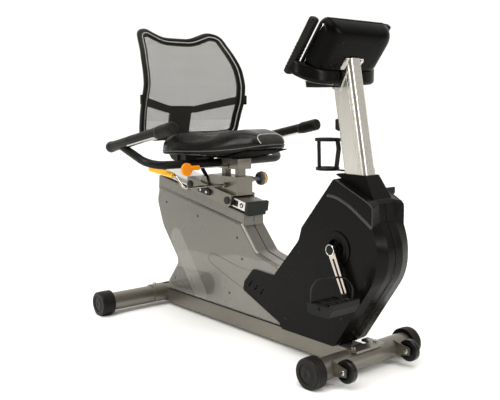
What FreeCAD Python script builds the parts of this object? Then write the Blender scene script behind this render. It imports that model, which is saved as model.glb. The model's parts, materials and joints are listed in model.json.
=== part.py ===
import FreeCAD, Part
import math
import os

# Recumbent exercise bike, in millimetres. +X is the way the rider faces, +Y is the rider's
# left, +Z is up. The pieces are drawn about a point on the floor near the middle of the bike,
# and moved by CENTRE_SHIFT as they are written, so that the origin is under the exact middle.

V = FreeCAD.Vector
X_AXIS = V(1, 0, 0)
Y_AXIS = V(0, 1, 0)
ORIGIN = V(0, 0, 0)
CENTRE_SHIFT = V(9.5, 0, 0)

# Floor frame
FRONT_FOOT_X = 527
REAR_FOOT_X = -628.5
FOOT_TUBE_R = 38
FOOT_Z = 50
FOOT_CAP_R = 51.5
FRONT_FOOT_HALF = 261
REAR_FOOT_HALF = 368
BEAM_HALF = 40
BEAM_BOTTOM = 15
BEAM_TOP = 79
TRANSPORT_X = 604
TRANSPORT_Y = 158
TRANSPORT_Z = 57
TRANSPORT_R = 38

# Seat rail: a frame of its own, x forward along the rail, z square to it
RAIL_FRONT = V(-29, 0, 486)
RAIL_SLOPE = 10.2
RAIL_LENGTH = 616
RAIL_HEIGHT = 34
RAIL_HALF = 50
GROOVE_BACK = 30
ROLLER_R = 12.2
ROLLER_Z = RAIL_HEIGHT / 2
ROLLER_FRONT = -103
ROLLER_REAR = -353
STUB_R = 5

# Casings
REAR_CASE_HALF = 57
COLLAR_HALF = 50
FRONT_CASE_HALF = 78
TONGUE_HALF = 63
CASE_WALL = 3

# Drive
CRANK_X = 476
CRANK_Z = 422
CRANK_LENGTH = 175
CRANK_TILT = 25.4
ARM_Y = 100
PEDAL_Y = 174.5
PEDAL_HALF = 62.5
AXLE_R = 10
PULLEY_R = 125
PULLEY_Y = 28
FLYWHEEL_X = 390
FLYWHEEL_Z = 225
FLYWHEEL_R = 116
SMALL_PULLEY_R = 26
BELT_THICK = 2.5
BELT_GAP = 0.3

# Mast and console
MAST_FOOT = V(525, 0, 560)
MAST_LEAN = 11.3
MAST_LENGTH = 520
MAST_DEPTH = 92
MAST_WIDTH = 58
CONSOLE_CENTRE = V(425, 0, 1089)
CONSOLE_TILT = 36.4
CONSOLE_HALF_W = 154
CONSOLE_HALF_H = 92
CONSOLE_DEPTH = 62

# Seat
RECLINE_X = -395
RECLINE_Z = 672
CROSS_TUBE_X = -208
CROSS_TUBE_Z = 665
GRIP_Y = 360
TUBE_R = 17
BAR_R = 16
SLIDE_LEVER_X = -154
SLIDE_LEVER_Z = 579
RECLINE_LEVER_X = -150
RECLINE_LEVER_Z = 655
LEVER_END_Y = 245
KNOB_X = -112
KNOB_Z = 599

# Gas strut between the carriage and the back's lever
STRUT_LOW = V(-290, 0, 592)
STRUT_HIGH = V(-345, 0, 650)
STRUT_Y = -32

RAIL_PLACE = FreeCAD.Placement(RAIL_FRONT, FreeCAD.Rotation(Y_AXIS, RAIL_SLOPE))
MAST_PLACE = FreeCAD.Placement(MAST_FOOT, FreeCAD.Rotation(Y_AXIS, -MAST_LEAN))
# Console frame: x to the rider's right, y up the face, z out of the face towards the rider
FACE_UP = V(math.sin(math.radians(CONSOLE_TILT)), 0, math.cos(math.radians(CONSOLE_TILT)))
FACE_OUT = V(-FACE_UP.z, 0, FACE_UP.x)
CONSOLE_PLACE = FreeCAD.Placement(CONSOLE_CENTRE, FreeCAD.Rotation(V(0, -1, 0), FACE_UP, FACE_OUT, "ZXY"))


# ---- helpers ----

def box(x0, x1, y0, y1, z0, z1):
    return Part.makeBox(x1 - x0, y1 - y0, z1 - z0, V(x0, y0, z0))


def rod(start, end, radius):
    return Part.makeCylinder(radius, start.distanceToPoint(end), start, end - start)


def across(x, z, radius, y0, y1):
    """Cylinder lying along Y."""
    return rod(V(x, y0, z), V(x, y1, z), radius)


def ring(x, z, outer, inner, y0, y1):
    return across(x, z, outer, y0, y1).cut(across(x, z, inner, y0 - 1, y1 + 1))


def fused(shapes):
    whole = shapes[0]
    for shape in shapes[1:]:
        whole = whole.fuse(shape)
    return whole.removeSplitter()


def cut_all(shape, tools):
    for tool in tools:
        shape = shape.cut(tool)
    return shape


def mirrored(shape):
    """The same piece on the other side of the bike."""
    return shape.mirror(ORIGIN, Y_AXIS)


def both_sides(shape):
    return Part.makeCompound([shape, mirrored(shape)])


def placed(shape, place):
    moved = shape.copy()
    moved.Placement = place.multiply(moved.Placement)
    return moved


def corner_arc(before, corner, after, radius):
    """Start, middle and end of the arc that rounds one corner."""
    to_before = (before - corner).normalize()
    to_after = (after - corner).normalize()
    half_angle = to_before.getAngle(to_after) / 2
    reach = radius / math.tan(half_angle)
    inward = (to_before + to_after).normalize()
    middle = corner + inward * (radius / math.sin(half_angle) - radius)
    return corner + to_before * reach, middle, corner + to_after * reach


def rounded_loop(points, radii):
    """Closed wire of straight runs, with an arc at every corner."""
    arcs = []
    for i, corner in enumerate(points):
        arcs.append(corner_arc(points[i - 1], corner, points[(i + 1) % len(points)], radii[i]))
    edges = []
    for i, (start, middle, end) in enumerate(arcs):
        previous_end = arcs[i - 1][2]
        if previous_end.distanceToPoint(start) > 0.001:
            edges.append(Part.LineSegment(previous_end, start).toShape())
        edges.append(Part.Arc(start, middle, end).toShape())
    return Part.Wire(edges)


def bent_path(points, radii):
    """Open wire through the points, rounded at each inner one."""
    edges = []
    last = points[0]
    for i in range(1, len(points) - 1):
        start, middle, end = corner_arc(points[i - 1], points[i], points[i + 1], radii[i - 1])
        edges.append(Part.LineSegment(last, start).toShape())
        edges.append(Part.Arc(start, middle, end).toShape())
        last = end
    edges.append(Part.LineSegment(last, points[-1]).toShape())
    return Part.Wire(edges)


def bent_rod(points, radii, radius):
    path = bent_path(points, radii)
    section = Part.Wire(Part.makeCircle(radius, points[0], points[1] - points[0]))
    return path.makePipeShell([section], True, False)


def side_wire(outline, y, radius):
    """Side outline of (x, z) or (x, z, corner radius) points, drawn at the given y."""
    points = [V(corner[0], y, corner[1]) for corner in outline]
    radii = [corner[2] if len(corner) > 2 else radius for corner in outline]
    if radius:
        return rounded_loop(points, radii)
    return Part.makePolygon(points + [points[0]])


def plate(outline, y0, y1, radius=0):
    """Slab with the given side outline, from y0 to y1."""
    return Part.Face(side_wire(outline, y0, radius)).extrude(V(0, y1 - y0, 0))


def slab(outline, z0, z1, radius=0):
    """Slab with the given plan outline, from z0 to z1."""
    points = [V(x, y, z0) for x, y in outline]
    if radius:
        wire = rounded_loop(points, [radius] * len(points))
    else:
        wire = Part.makePolygon(points + [points[0]])
    return Part.Face(wire).extrude(V(0, 0, z1 - z0))


def softened(shape, radius, wanted):
    """Round the edges that the test picks out."""
    edges = [edge for edge in shape.Edges if wanted(edge)]
    return shape.makeFillet(radius, edges)


def on_plane_y(y):
    return lambda edge: all(abs(vertex.Y - y) < 0.01 for vertex in edge.Vertexes)


def half_shell(outline, half_width, corner, edge_radius, wall):
    """Right-hand half of a hollow casing, open on the middle plane."""
    outer = plate(outline, -half_width, 0, corner)
    outer = softened(outer, edge_radius, on_plane_y(-half_width))
    inner_wire = side_wire(outline, 0, corner).makeOffset2D(-wall)
    inner = Part.Face(inner_wire).extrude(V(0, wall - half_width, 0))
    inner = softened(inner, edge_radius - wall, on_plane_y(wall - half_width))
    return outer, inner


def bolt(x, y, z, direction, head_r=8, head=6, shank=14, shank_r=4):
    """Hex-headed bolt whose head sits on the surface at the given point."""
    place = V(x, y, z)
    out = V(direction).normalize()
    cap = rod(place, place + out * head, head_r)
    stem = rod(place - out * shank, place + out * 0.5, shank_r)
    socket = rod(place + out * (head - 3), place + out * (head + 1), head_r * 0.45)
    return cap.fuse(stem).cut(socket)


def export(name, shape):
    solids = [solid.translated(CENTRE_SHIFT) for solid in shape.Solids]
    whole = Part.makeCompound(solids) if len(solids) > 1 else solids[0]
    whole.exportStep("parts/%s.step" % name)
    print("%-24s solids %2d  valid %s  %.1f cm3" % (name, len(solids), whole.isValid(), whole.Volume / 1000))


# ---- floor frame ----

def main_beam():
    start = REAR_FOOT_X
    end = FRONT_FOOT_X
    outer = box(start, end, -BEAM_HALF, BEAM_HALF, BEAM_BOTTOM, BEAM_TOP)
    inner = box(start + 50, end - 50, 3 - BEAM_HALF, BEAM_HALF - 3, BEAM_BOTTOM + 3, BEAM_TOP - 3)
    feet = [across(x, FOOT_Z, FOOT_TUBE_R, -60, 60) for x in (start, end)]
    ends = [box(start - 1, start, -60, 60, 0, 100), box(end, end + 1, -60, 60, 0, 100)]
    outer = cut_all(outer, feet + ends)
    pieces = sorted(outer.Solids, key=lambda solid: solid.Volume)
    return pieces[-1].cut(inner)


def foot_tube(x, half):
    end = half - 12
    return ring(x, FOOT_Z, FOOT_TUBE_R, FOOT_TUBE_R - 3, -end, end)


def rear_foot():
    x = REAR_FOOT_X
    saddle = ring(x, FOOT_Z, FOOT_TUBE_R + 5, FOOT_TUBE_R - 1, -105, 105)
    saddle = saddle.cut(box(x, x + 60, -BEAM_HALF, BEAM_HALF, 0, 100))
    saddle = saddle.cut(box(x - 60, x + 60, -106, 106, 0, 26))
    bolt_holes = [rod(V(x, y, 80), V(x, y, 95), 4) for y in (-85, 85)]
    pieces = [cut_all(piece, bolt_holes) for piece in (foot_tube(x, REAR_FOOT_HALF), saddle)]
    return fused(pieces)


def front_foot():
    x = FRONT_FOOT_X
    tube = foot_tube(x, FRONT_FOOT_HALF)
    top = box(x - 42, x + 42, -72, 72, FOOT_Z + 35, FOOT_Z + FOOT_TUBE_R + 5)
    top = top.cut(box(x - 60, x, -BEAM_HALF, BEAM_HALF, 0, 100))
    top = top.cut(box(x - 60, x - 37, -80, 80, 0, 100))
    forks = [wheel_fork(side) for side in (-1, 1)]
    bolt_holes = [rod(V(x + 12, y, 80), V(x + 12, y, 95), 4) for y in (-56, 56)]
    bore = across(x, FOOT_Z, FOOT_TUBE_R - 3, -300, 300)
    return cut_all(fused([tube, top] + forks), bolt_holes + [bore])


def wheel_fork(side):
    """Bracket on the right of one transport wheel, with the wheel's stub axle."""
    cheek_y = side * TRANSPORT_Y - 16
    cheek = plate([(FRONT_FOOT_X + 20, 30), (TRANSPORT_X + 14, 45), (TRANSPORT_X + 14, 70),
                   (FRONT_FOOT_X + 20, 84)], cheek_y - 2, cheek_y + 2, 3)
    stub = across(TRANSPORT_X, TRANSPORT_Z, 5, cheek_y, cheek_y + 32)
    heads = [across(TRANSPORT_X, TRANSPORT_Z, 9, cheek_y + at, cheek_y + at + 4) for at in (-5, 28)]
    return fused([cheek, stub] + heads)


def foot_bolts():
    rear_top = FOOT_Z + FOOT_TUBE_R + 5
    bolts = [bolt(REAR_FOOT_X, y, rear_top, (0, 0, 1), shank=10) for y in (-85, 85)]
    bolts += [bolt(FRONT_FOOT_X + 12, y, rear_top, (0, 0, 1), shank=10) for y in (-56, 56)]
    return Part.makeCompound(bolts)


def foot_cap(x, half, length):
    """Round end cap pushed over the tube's end, with a flat to stand on."""
    outer = across(x, FOOT_Z, FOOT_CAP_R, half - length, half)
    outer = softened(outer, 5, on_plane_y(half))
    socket = across(x, FOOT_Z, FOOT_TUBE_R, half - length - 1, half - 12)
    dish = across(x, FOOT_Z, 34, half - 3, half + 1)
    return cut_all(outer, [socket, dish, box(x - 90, x + 90, half - 100, half + 1, -10, 0)])


def foot_caps():
    caps = []
    for x, half, length in ((REAR_FOOT_X, REAR_FOOT_HALF, 58), (FRONT_FOOT_X, FRONT_FOOT_HALF, 42)):
        cap = foot_cap(x, half, length)
        caps += [cap, mirrored(cap)]
    return Part.makeCompound(caps)


def transport_wheel(side):
    y0 = side * TRANSPORT_Y - 11
    tread = ring(TRANSPORT_X, TRANSPORT_Z, TRANSPORT_R, 5.05, y0, y0 + 22)
    tread = softened(tread, 4, lambda edge: hasattr(edge.Curve, "Radius") and edge.Curve.Radius > 30)
    for face_y in (y0 - 1, y0 + 19):
        tread = tread.cut(ring(TRANSPORT_X, TRANSPORT_Z, 25, 12, face_y, face_y + 4))
    return tread


# ---- seat rail and its support ----

def seat_rail():
    section = [(-RAIL_HALF, 0), (RAIL_HALF, 0), (RAIL_HALF, 4.5), (GROOVE_BACK, 4.5),
               (GROOVE_BACK, RAIL_HEIGHT - 4.5), (RAIL_HALF, RAIL_HEIGHT - 4.5),
               (RAIL_HALF, RAIL_HEIGHT), (-RAIL_HALF, RAIL_HEIGHT),
               (-RAIL_HALF, RAIL_HEIGHT - 4.5), (-GROOVE_BACK, RAIL_HEIGHT - 4.5),
               (-GROOVE_BACK, 4.5), (-RAIL_HALF, 4.5)]
    points = [V(-RAIL_LENGTH, y, z) for y, z in section]
    bar = Part.Face(Part.makePolygon(points + [points[0]])).extrude(V(RAIL_LENGTH, 0, 0))
    bar = bar.cut(box(-RAIL_LENGTH - 1, 1, -26, 26, 4.5, RAIL_HEIGHT - 4.5))
    plugs = [box(-47, -5, side * 40 - 10, side * 40 + 10, 4.5, RAIL_HEIGHT - 4.5) for side in (-1, 1)]
    return placed(fused([bar] + plugs), RAIL_PLACE)


def rail_end_caps():
    wide = box(0, 17, -54, 54, -2, RAIL_HEIGHT + 4)
    low = box(0, 17, -44, 44, -16, 0)
    front = softened(fused([wide, low]), 5, lambda edge: all(v.X > 16 for v in edge.Vertexes))
    tongue = box(-14, 1, -25.5, 25.5, 5, RAIL_HEIGHT - 5)
    front = front.fuse(tongue)
    back = box(-RAIL_LENGTH - 8, -RAIL_LENGTH, -52, 52, -1, RAIL_HEIGHT + 2)
    back = back.fuse(box(-RAIL_LENGTH - 1, -RAIL_LENGTH + 14, -25.5, 25.5, 5, RAIL_HEIGHT - 5))
    return placed(Part.makeCompound([front, back]), RAIL_PLACE)


def upright_boxes(grow):
    """Two posts from the beam to the rail, grown by a clearance for cutting holes."""
    g = grow
    return [box(-110 - g, -60 + g, -25 - g, 25 + g, BEAM_TOP, 560),
            box(-430 - g, -380 + g, -25 - g, 25 + g, BEAM_TOP, 620)]


def seat_post_frame():
    top = placed(box(-RAIL_LENGTH + 14, -16, -46, 46, -6, 0), RAIL_PLACE)
    over = placed(box(-RAIL_LENGTH - 100, 200, -100, 100, -6, 200), RAIL_PLACE)
    posts = [post.cut(over) for post in upright_boxes(0)]
    hollow = [box(-106, -64, -21, 21, BEAM_TOP + 5, 470), box(-426, -384, -21, 21, BEAM_TOP + 5, 520)]
    web = plate([(-385, BEAM_TOP + 12), (-105, BEAM_TOP + 12), (-105, 478), (-385, 528)], -2, 2)
    web = web.cut(plate([(-350, 150), (-140, 150), (-140, 420), (-350, 450)], -3, 3, 40))
    return fused([cut_all(fused([top] + posts), hollow), cut_all(web, hollow)])


# ---- casings ----

REAR_BODY = [(-620, 539), (-640, 470, 60), (-596, 360, 120), (-478, 221, 30), (-562, 118, 12), (-556, 83),
             (176, 83), (172, 306), (47, 338, 30), (-46, 441)]
COLLAR = [(-629, 584), (-634, 520), (-560, 500), (-60, 415), (-36, 420), (-36, 477)]
FRONT_SIDE = [(460, 656, 14), (616, 585, 8), (626, 575, 8), (627, 512, 30), (648, 455, 200), (648, 352, 180),
              (478, 94, 10), (468, 86, 6), (212, 86, 8), (151, 190, 60), (150, 257, 40), (296, 425, 60),
              (309, 472, 40)]
FRONT_MIDDLE = [(444, 655.5, 14), (604, 594, 8), (616, 581, 8), (623, 524, 12), (661, 455, 165),
                (661, 362, 150), (484, 96, 10), (474, 86, 6), (212, 86, 8), (151, 190, 60), (150, 257, 40),
                (294, 425, 60), (305, 472, 40)]
FRONT_BEVEL_Y = 35
TONGUE = [(190, 268), (34, 274, 14), (-17, 218, 14), (-25, 184, 12), (205, 92), (300, 92), (300, 268)]


def rear_shroud():
    outer_body, inner_body = half_shell(REAR_BODY, REAR_CASE_HALF, 8, 12, CASE_WALL)
    outer_collar, inner_collar = half_shell(COLLAR, COLLAR_HALF, 6, 4, CASE_WALL)
    shell = outer_body.fuse(outer_collar).cut(inner_body).cut(inner_collar).removeSplitter()
    band = plate([(-600, 520), (-90, 431), (-90, 455), (-600, 545)], 3 - COLLAR_HALF, 0)
    shell = shell.cut(band)
    return cut_all(shell, upright_boxes(1.5))


def crank_hole():
    return across(CRANK_X, CRANK_Z, 34, -FRONT_CASE_HALF - 5, FRONT_CASE_HALF + 5)


def rear_case_clearance():
    """Room for the rear casing's nose inside the front casing."""
    return plate([(-60, 70), (190, 70), (186, 318), (40, 352), (-60, 470)], -REAR_CASE_HALF - 1, 1)


def front_half(inset, side_y):
    """Right-hand half of the front casing: a side face that slopes out to the flat front."""
    side = side_wire(FRONT_SIDE, side_y, 8)
    middle = side_wire(FRONT_MIDDLE, -FRONT_BEVEL_Y, 8)
    if inset:
        side = side.makeOffset2D(-inset)
        middle = middle.makeOffset2D(-inset)
    slope = Part.makeLoft([side, middle], True, True)
    return slope.fuse(Part.Face(middle).extrude(V(0, FRONT_BEVEL_Y, 0)))


def front_shroud():
    outer = front_half(0, -FRONT_CASE_HALF)
    inner = front_half(CASE_WALL, CASE_WALL - FRONT_CASE_HALF)
    outer_tongue = plate(TONGUE, -TONGUE_HALF - 2, 0, 6)
    skin = outer_tongue.cut(plate([corner[:2] for corner in TONGUE], -REAR_CASE_HALF - 1, 1))
    skin = skin.cut(inner)
    shell = outer.cut(inner).fuse(skin).removeSplitter()
    vents = [plate([(x, z), (x + 7, z - 1), (x + 25, z + 22), (x + 18, z + 23)], -90, 0)
             for x, z in ((8, 205), (42, 196), (76, 187))]
    disc = ring(CRANK_X, CRANK_Z, 60, 34, -FRONT_CASE_HALF - 4, -FRONT_CASE_HALF + 1)
    shell = fused([shell, disc])
    tools = vents + [crank_hole(), rear_case_clearance(), drive_opening(), mast_opening()]
    return cut_all(shell, tools)


def drive_opening():
    """Slot in the casing's floor for the drive frame."""
    return box(330, 500, -24, 24, 80, 100)


def mast_opening():
    return placed(box(-MAST_DEPTH / 2 - 3, MAST_DEPTH / 2 + 3, -MAST_WIDTH / 2 - 3, MAST_WIDTH / 2 + 3,
                      20, 150), MAST_PLACE)


REAR_SCREWS = [(-560, 470), (-330, 435), (-70, 380), (-40, 300), (-120, 150), (-500, 140)]
FRONT_SCREWS = [(230, 130), (300, 385), (560, 560), (604, 330), (505, 190)]


def shroud_screws():
    """Countersunk screws on both sides of the rear casing and the front casing."""
    screws = []
    for half, places in ((REAR_CASE_HALF, REAR_SCREWS), (FRONT_CASE_HALF, FRONT_SCREWS)):
        for x, z in places:
            screw = across(x, z, 4.5, -half - 0.8, -half).fuse(across(x, z, 2, -half, -half + 12))
            screws += [screw, mirrored(screw)]
    return Part.makeCompound(screws)


def screw_holes():
    """Holes in the right-hand casings that the screws sit in."""
    return [across(x, z, 2, -90, 0) for x, z in REAR_SCREWS + FRONT_SCREWS]


def mast_boot():
    """Tapered cover round the mast's foot, wider towards its base."""
    side = [(441, 668), (556, 668), (603, 594), (603, 560), (424, 560), (428, 664)]
    body = plate(side, -60, 60, 3)
    flare = [V(400, -49, 560), V(400, 49, 560), V(400, 32, 680), V(400, -32, 680), V(400, -49, 560)]
    taper = Part.Face(Part.makePolygon(flare)).extrude(V(240, 0, 0))
    under = plate([(380, 680.6), (636, 582.2), (660, 500), (300, 500)], -60, 60)
    return body.common(taper).cut(under).cut(mast_opening_fit())


def mast_opening_fit():
    return placed(box(-MAST_DEPTH / 2, MAST_DEPTH / 2, -MAST_WIDTH / 2, MAST_WIDTH / 2, 0, 200), MAST_PLACE)


# ---- drive ----

def drive_frame():
    cheek = [(345, BEAM_TOP), (464, BEAM_TOP), (578, 330), (588, 430), (560, 560), (470, 575), (440, 430),
             (362, 262), (350, 210)]
    mast_room = placed(box(-47, 47, -30, 30, 0, 100), MAST_PLACE)
    cheeks = [plate(cheek, y, y + 5, 6).cut(mast_room) for y in (-20, 15)]
    web = box(400, 470, -15, 15, BEAM_TOP, BEAM_TOP + 6)
    socket = placed(box(-38, 38, -19.5, 19.5, -110, 60), MAST_PLACE)
    socket = socket.cut(placed(box(-34, 34, -15, 15, -120, 61), MAST_PLACE))
    shell = across(CRANK_X, CRANK_Z, 25, -34, 20)
    pivot = across(300, 330, 5, -20, 56)
    pivot_arm = plate([(290, 320), (420, 300), (450, 360), (290, 345)], -20, -15, 6)
    frame = fused(cheeks + [web, socket, shell, pivot_arm, pivot])
    bearing_bore = across(CRANK_X, CRANK_Z, 18, -40, 40)
    axle_bore = across(FLYWHEEL_X, FLYWHEEL_Z, 8, -40, 40)
    return frame.cut(bearing_bore).cut(axle_bore)


def crank_bearings():
    bearings = [ring(CRANK_X, CRANK_Z, 18, AXLE_R + 0.05, y, y + 12) for y in (-33, 7)]
    return Part.makeCompound(bearings)


def crank_axle():
    shaft = across(CRANK_X, CRANK_Z, AXLE_R, -ARM_Y - 3, ARM_Y + 3)
    flange = across(CRANK_X, CRANK_Z, 24, 32.5, 37)
    return shaft.fuse(flange)


def drive_pulley():
    rim = across(CRANK_X, CRANK_Z, PULLEY_R, PULLEY_Y - 7, PULLEY_Y + 3)
    flanges = [across(CRANK_X, CRANK_Z, PULLEY_R + 4, y, y + 1.5)
               for y in (PULLEY_Y - 7, PULLEY_Y + 3)]
    pulley = fused([rim] + flanges).cut(across(CRANK_X, CRANK_Z, AXLE_R, 0, 60))
    for i in range(6):
        angle = math.radians(60 * i)
        x = CRANK_X + 76 * math.cos(angle)
        z = CRANK_Z + 76 * math.sin(angle)
        pulley = pulley.cut(across(x, z, 27, 0, 60))
    return pulley


def flywheel_axle():
    shaft = across(FLYWHEEL_X, FLYWHEEL_Z, 7.95, -30, 72)
    nuts = [across(FLYWHEEL_X, FLYWHEEL_Z, 12, y, y + 5) for y in (-26, 66)]
    return fused([shaft] + nuts)


def flywheel():
    """Heavy disc and its small belt pulley, on one bearing hub."""
    x, z = FLYWHEEL_X, FLYWHEEL_Z
    rim = ring(x, z, FLYWHEEL_R, 92, 40, 64)
    web = across(x, z, 93, 48, 56)
    hub = across(x, z, 24, 30, 65)
    drum = across(x, z, SMALL_PULLEY_R, PULLEY_Y - 7, PULLEY_Y + 3)
    flanges = [across(x, z, SMALL_PULLEY_R + 4, y, y + 1.5) for y in (PULLEY_Y - 7, PULLEY_Y + 3)]
    return fused([rim, web, hub, drum] + flanges).cut(across(x, z, 8.0, 0, 80))


def drive_belt():
    """Loop round both pulleys, on their outer tangents."""
    big = V(CRANK_X, 0, CRANK_Z)
    small = V(FLYWHEEL_X, 0, FLYWHEEL_Z)
    y0 = PULLEY_Y - 5
    y1 = PULLEY_Y + 2.5

    def loop(extra):
        span = small - big
        distance = span.Length
        lean = math.asin((PULLEY_R - SMALL_PULLEY_R) / distance)
        heading = math.atan2(span.z, span.x)
        outline = []
        for turn in (1, -1):
            angle = heading + turn * (math.pi / 2 - lean)
            out = V(math.cos(angle), 0, math.sin(angle))
            outline.append((big + out * (PULLEY_R + extra), small + out * (SMALL_PULLEY_R + extra)))
        (a, b), (d, c) = outline
        band = plate([(p.x, p.z) for p in (a, b, c, d)], y0, y1)
        ends = [across(big.x, big.z, PULLEY_R + extra, y0, y1),
                across(small.x, small.z, SMALL_PULLEY_R + extra, y0, y1)]
        return fused([band] + ends)

    return loop(BELT_GAP + BELT_THICK).cut(loop(BELT_GAP))


def brake_arm():
    """Swinging arm that brings two rows of magnets to the flywheel's rim."""
    x, z = 300, 330
    arm = plate([(288, 318), (288, 342), (312, 350), (420, 370), (424, 358), (330, 338)], 49, 55, 5)
    arm = arm.cut(across(x, z, 5.05, 40, 60))
    magnets = []
    for angle in (80, 95, 110):
        a = math.radians(angle)
        mx = FLYWHEEL_X + (FLYWHEEL_R + 12) * math.cos(a)
        mz = FLYWHEEL_Z + (FLYWHEEL_R + 12) * math.sin(a)
        magnets.append(box(mx - 12, mx + 12, 42, 62, mz - 4, mz + 6))
    return fused([arm] + magnets)


def crank_arm(side):
    """Tapered arm, its pedal spindle and the cap on its axle end."""
    tilt = math.radians(CRANK_TILT)
    down = V(math.sin(tilt), 0, -math.cos(tilt)) * (-side)
    axle = V(CRANK_X, 0, CRANK_Z)
    eye = axle + down * CRANK_LENGTH
    side_way = V(down.z, 0, -down.x)
    corners = [axle + side_way * 15, eye + side_way * 11, eye - side_way * 11, axle - side_way * 15]
    y0, y1 = sorted((side * (ARM_Y - 7), side * (ARM_Y + 7)))
    bar = plate([(p.x, p.z) for p in corners], y0, y1)
    bosses = [across(axle.x, axle.z, 19, y0 - 2, y1 + 2), across(eye.x, eye.z, 14, y0, y1)]
    arm = fused([bar] + bosses)
    bore_in, bore_out = sorted((side * 60, side * (ARM_Y + 3)))
    arm = arm.cut(across(axle.x, axle.z, AXLE_R, bore_in, bore_out))
    return arm.cut(across(eye.x, eye.z, 7, y0 - 5, y1 + 5)), eye


def pedal_spindles():
    spindles = []
    for side in (-1, 1):
        eye = crank_arm(side)[1]
        y0, y1 = sorted((side * (ARM_Y - 6), side * (PEDAL_Y + 55)))
        shaft = across(eye.x, eye.z, 7, y0, y1)
        c0, c1 = sorted((side * (ARM_Y + 7), side * (ARM_Y + 11)))
        spindles.append(fused([shaft, across(eye.x, eye.z, 11, c0, c1)]))
    return Part.makeCompound(spindles)


def at_eye(shape, side):
    """A right-hand pedal piece, drawn about its spindle, put on the given side's arm."""
    eye = crank_arm(side)[1]
    piece = mirrored(shape) if side > 0 else shape
    piece.translate(V(eye.x, 0, eye.z))
    return piece


def pedal(side):
    """Broad tray with raised edges, open through its middle."""
    low = -PEDAL_Y - PEDAL_HALF
    high = PEDAL_HALF - PEDAL_Y
    outline = [(-50, -14), (-40, -22), (44, -22), (60, 4), (60, 24), (52, 24), (46, 12), (-50, 12)]
    body = plate(outline, low, high, 3)
    body = body.cut(across(0, 0, 7.05, low - 1, high + 1))
    for near, far in ((-40, -14), (14, 40)):
        for start in (low + 9, low + 47, low + 85):
            body = body.cut(box(near, far, start, start + 31, -30, 30))
    return at_eye(body, side)


def pedal_strap(side):
    """Arched strap over the foot, from the tray's outer rear edge to its inner front one."""
    rear = V(-38, 4 - PEDAL_Y - PEDAL_HALF, 12)
    front = V(36, PEDAL_HALF - PEDAL_Y - 4, 12)
    run = V(front.x - rear.x, front.y - rear.y, 0)
    length = run.Length

    def arch(inset):
        side_view = [(inset, 0, 4), (inset, 48, 44), (26, 80 - inset, 40), (length - 26, 80 - inset, 40),
                     (length - inset, 48, 44), (length - inset, 0, 4)]
        return plate(side_view, -7, 7, 4)

    flat = arch(0).cut(arch(3)).cut(box(-10, length + 10, -10, 10, -10, 0.5))
    feet = box(0, 3, -7, 7, 0, 6).fuse(box(length - 3, length, -7, 7, 0, 6))
    turn = FreeCAD.Rotation(V(0, 0, 1), math.degrees(math.atan2(run.y, run.x)))
    return at_eye(placed(flat.fuse(feet).removeSplitter(), FreeCAD.Placement(rear, turn)), side)


# ---- seat carriage ----

def carriage_frame():
    """Inverted channel over the rail, with the square box that the seat stands on."""
    side = [(-378, -4), (-366, -8), (-96, -8), (-82, 2), (-82, 44), (-378, 44)]
    channel = plate(side, -61, 61, 4).cut(box(-400, 0, -56, 56, -20, 38.5))
    channel = channel.cut(box(-160, 0, -70, 70, 60, 90))
    stubs = []
    for x in (ROLLER_FRONT, ROLLER_REAR):
        stubs.append(across(x, ROLLER_Z, STUB_R, -57, -31))
    stubs += [mirrored(stub) for stub in stubs]
    body = placed(fused([channel] + stubs), RAIL_PLACE)
    tower_outer = box(-273, -95, -42, 42, 530, 613)
    tower_inner = box(-268, -100, -38, 38, 500, 608)
    below = placed(box(-500, 100, -100, 100, -100, 41), RAIL_PLACE)
    tower = tower_outer.cut(tower_inner).cut(below)
    post = box(-132, -106, -16, 16, 608, 643).fuse(box(-220, -196, -14, 14, 608, 643))
    ears = [plate([(-322, 575), (-262, 565), (-280, 604), (-300, 604)], y, y + 4, 4) for y in (-50, -18)]
    lugs = [ear.cut(below) for ear in ears]
    pin = across(STRUT_LOW.x, STRUT_LOW.z, 4, -50, -14)
    bosses = [across(SLIDE_LEVER_X, SLIDE_LEVER_Z, 10, -60, -42),
              across(KNOB_X, KNOB_Z, 12, 42, 56)]
    frame = fused([body, tower, post, pin] + lugs + bosses)
    frame = frame.cut(across(SLIDE_LEVER_X, SLIDE_LEVER_Z, 5.05, -70, -37))
    return frame.cut(across(KNOB_X, KNOB_Z, 8.05, 30, 70))


def carriage_side_caps():
    """Round caps over the rollers' stubs, and the block between them on each side."""
    caps = []
    for x in (ROLLER_FRONT, ROLLER_REAR):
        cap = across(x, ROLLER_Z, 15, -67, -61)
        caps.append(softened(cap, 2, on_plane_y(-67)))
    block = plate([(-290, 6), (-206, 6), (-206, 30), (-290, 30)], -71, -61, 11.9)
    caps.append(block)
    caps += [mirrored(cap) for cap in caps]
    return placed(Part.makeCompound(caps), RAIL_PLACE)


def carriage_rollers(x):
    roller = ring(x, ROLLER_Z, ROLLER_R, STUB_R + 0.05, -46, -33)
    return placed(both_sides(roller), RAIL_PLACE)


def slide_lever():
    """Chrome rod out of the carriage, bent back to the grip."""
    points = [V(SLIDE_LEVER_X, -38, SLIDE_LEVER_Z), V(SLIDE_LEVER_X, -LEVER_END_Y, SLIDE_LEVER_Z),
              V(-212, -LEVER_END_Y, 622), V(-383, -LEVER_END_Y, 637)]
    return bent_rod(points, [18, 22], 5)


def slide_lever_grip():
    start = V(-226, -LEVER_END_Y, 623.2)
    end = V(-390, -LEVER_END_Y, 637.6)
    outer = rod(start, end, 11)
    outer = outer.makeFillet(4, [outer.Edges[0], outer.Edges[2]])
    return outer.cut(slide_lever())


def recline_lever():
    return rod(V(RECLINE_LEVER_X, -30, RECLINE_LEVER_Z), V(RECLINE_LEVER_X, -214, RECLINE_LEVER_Z), 3.5)


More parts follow.
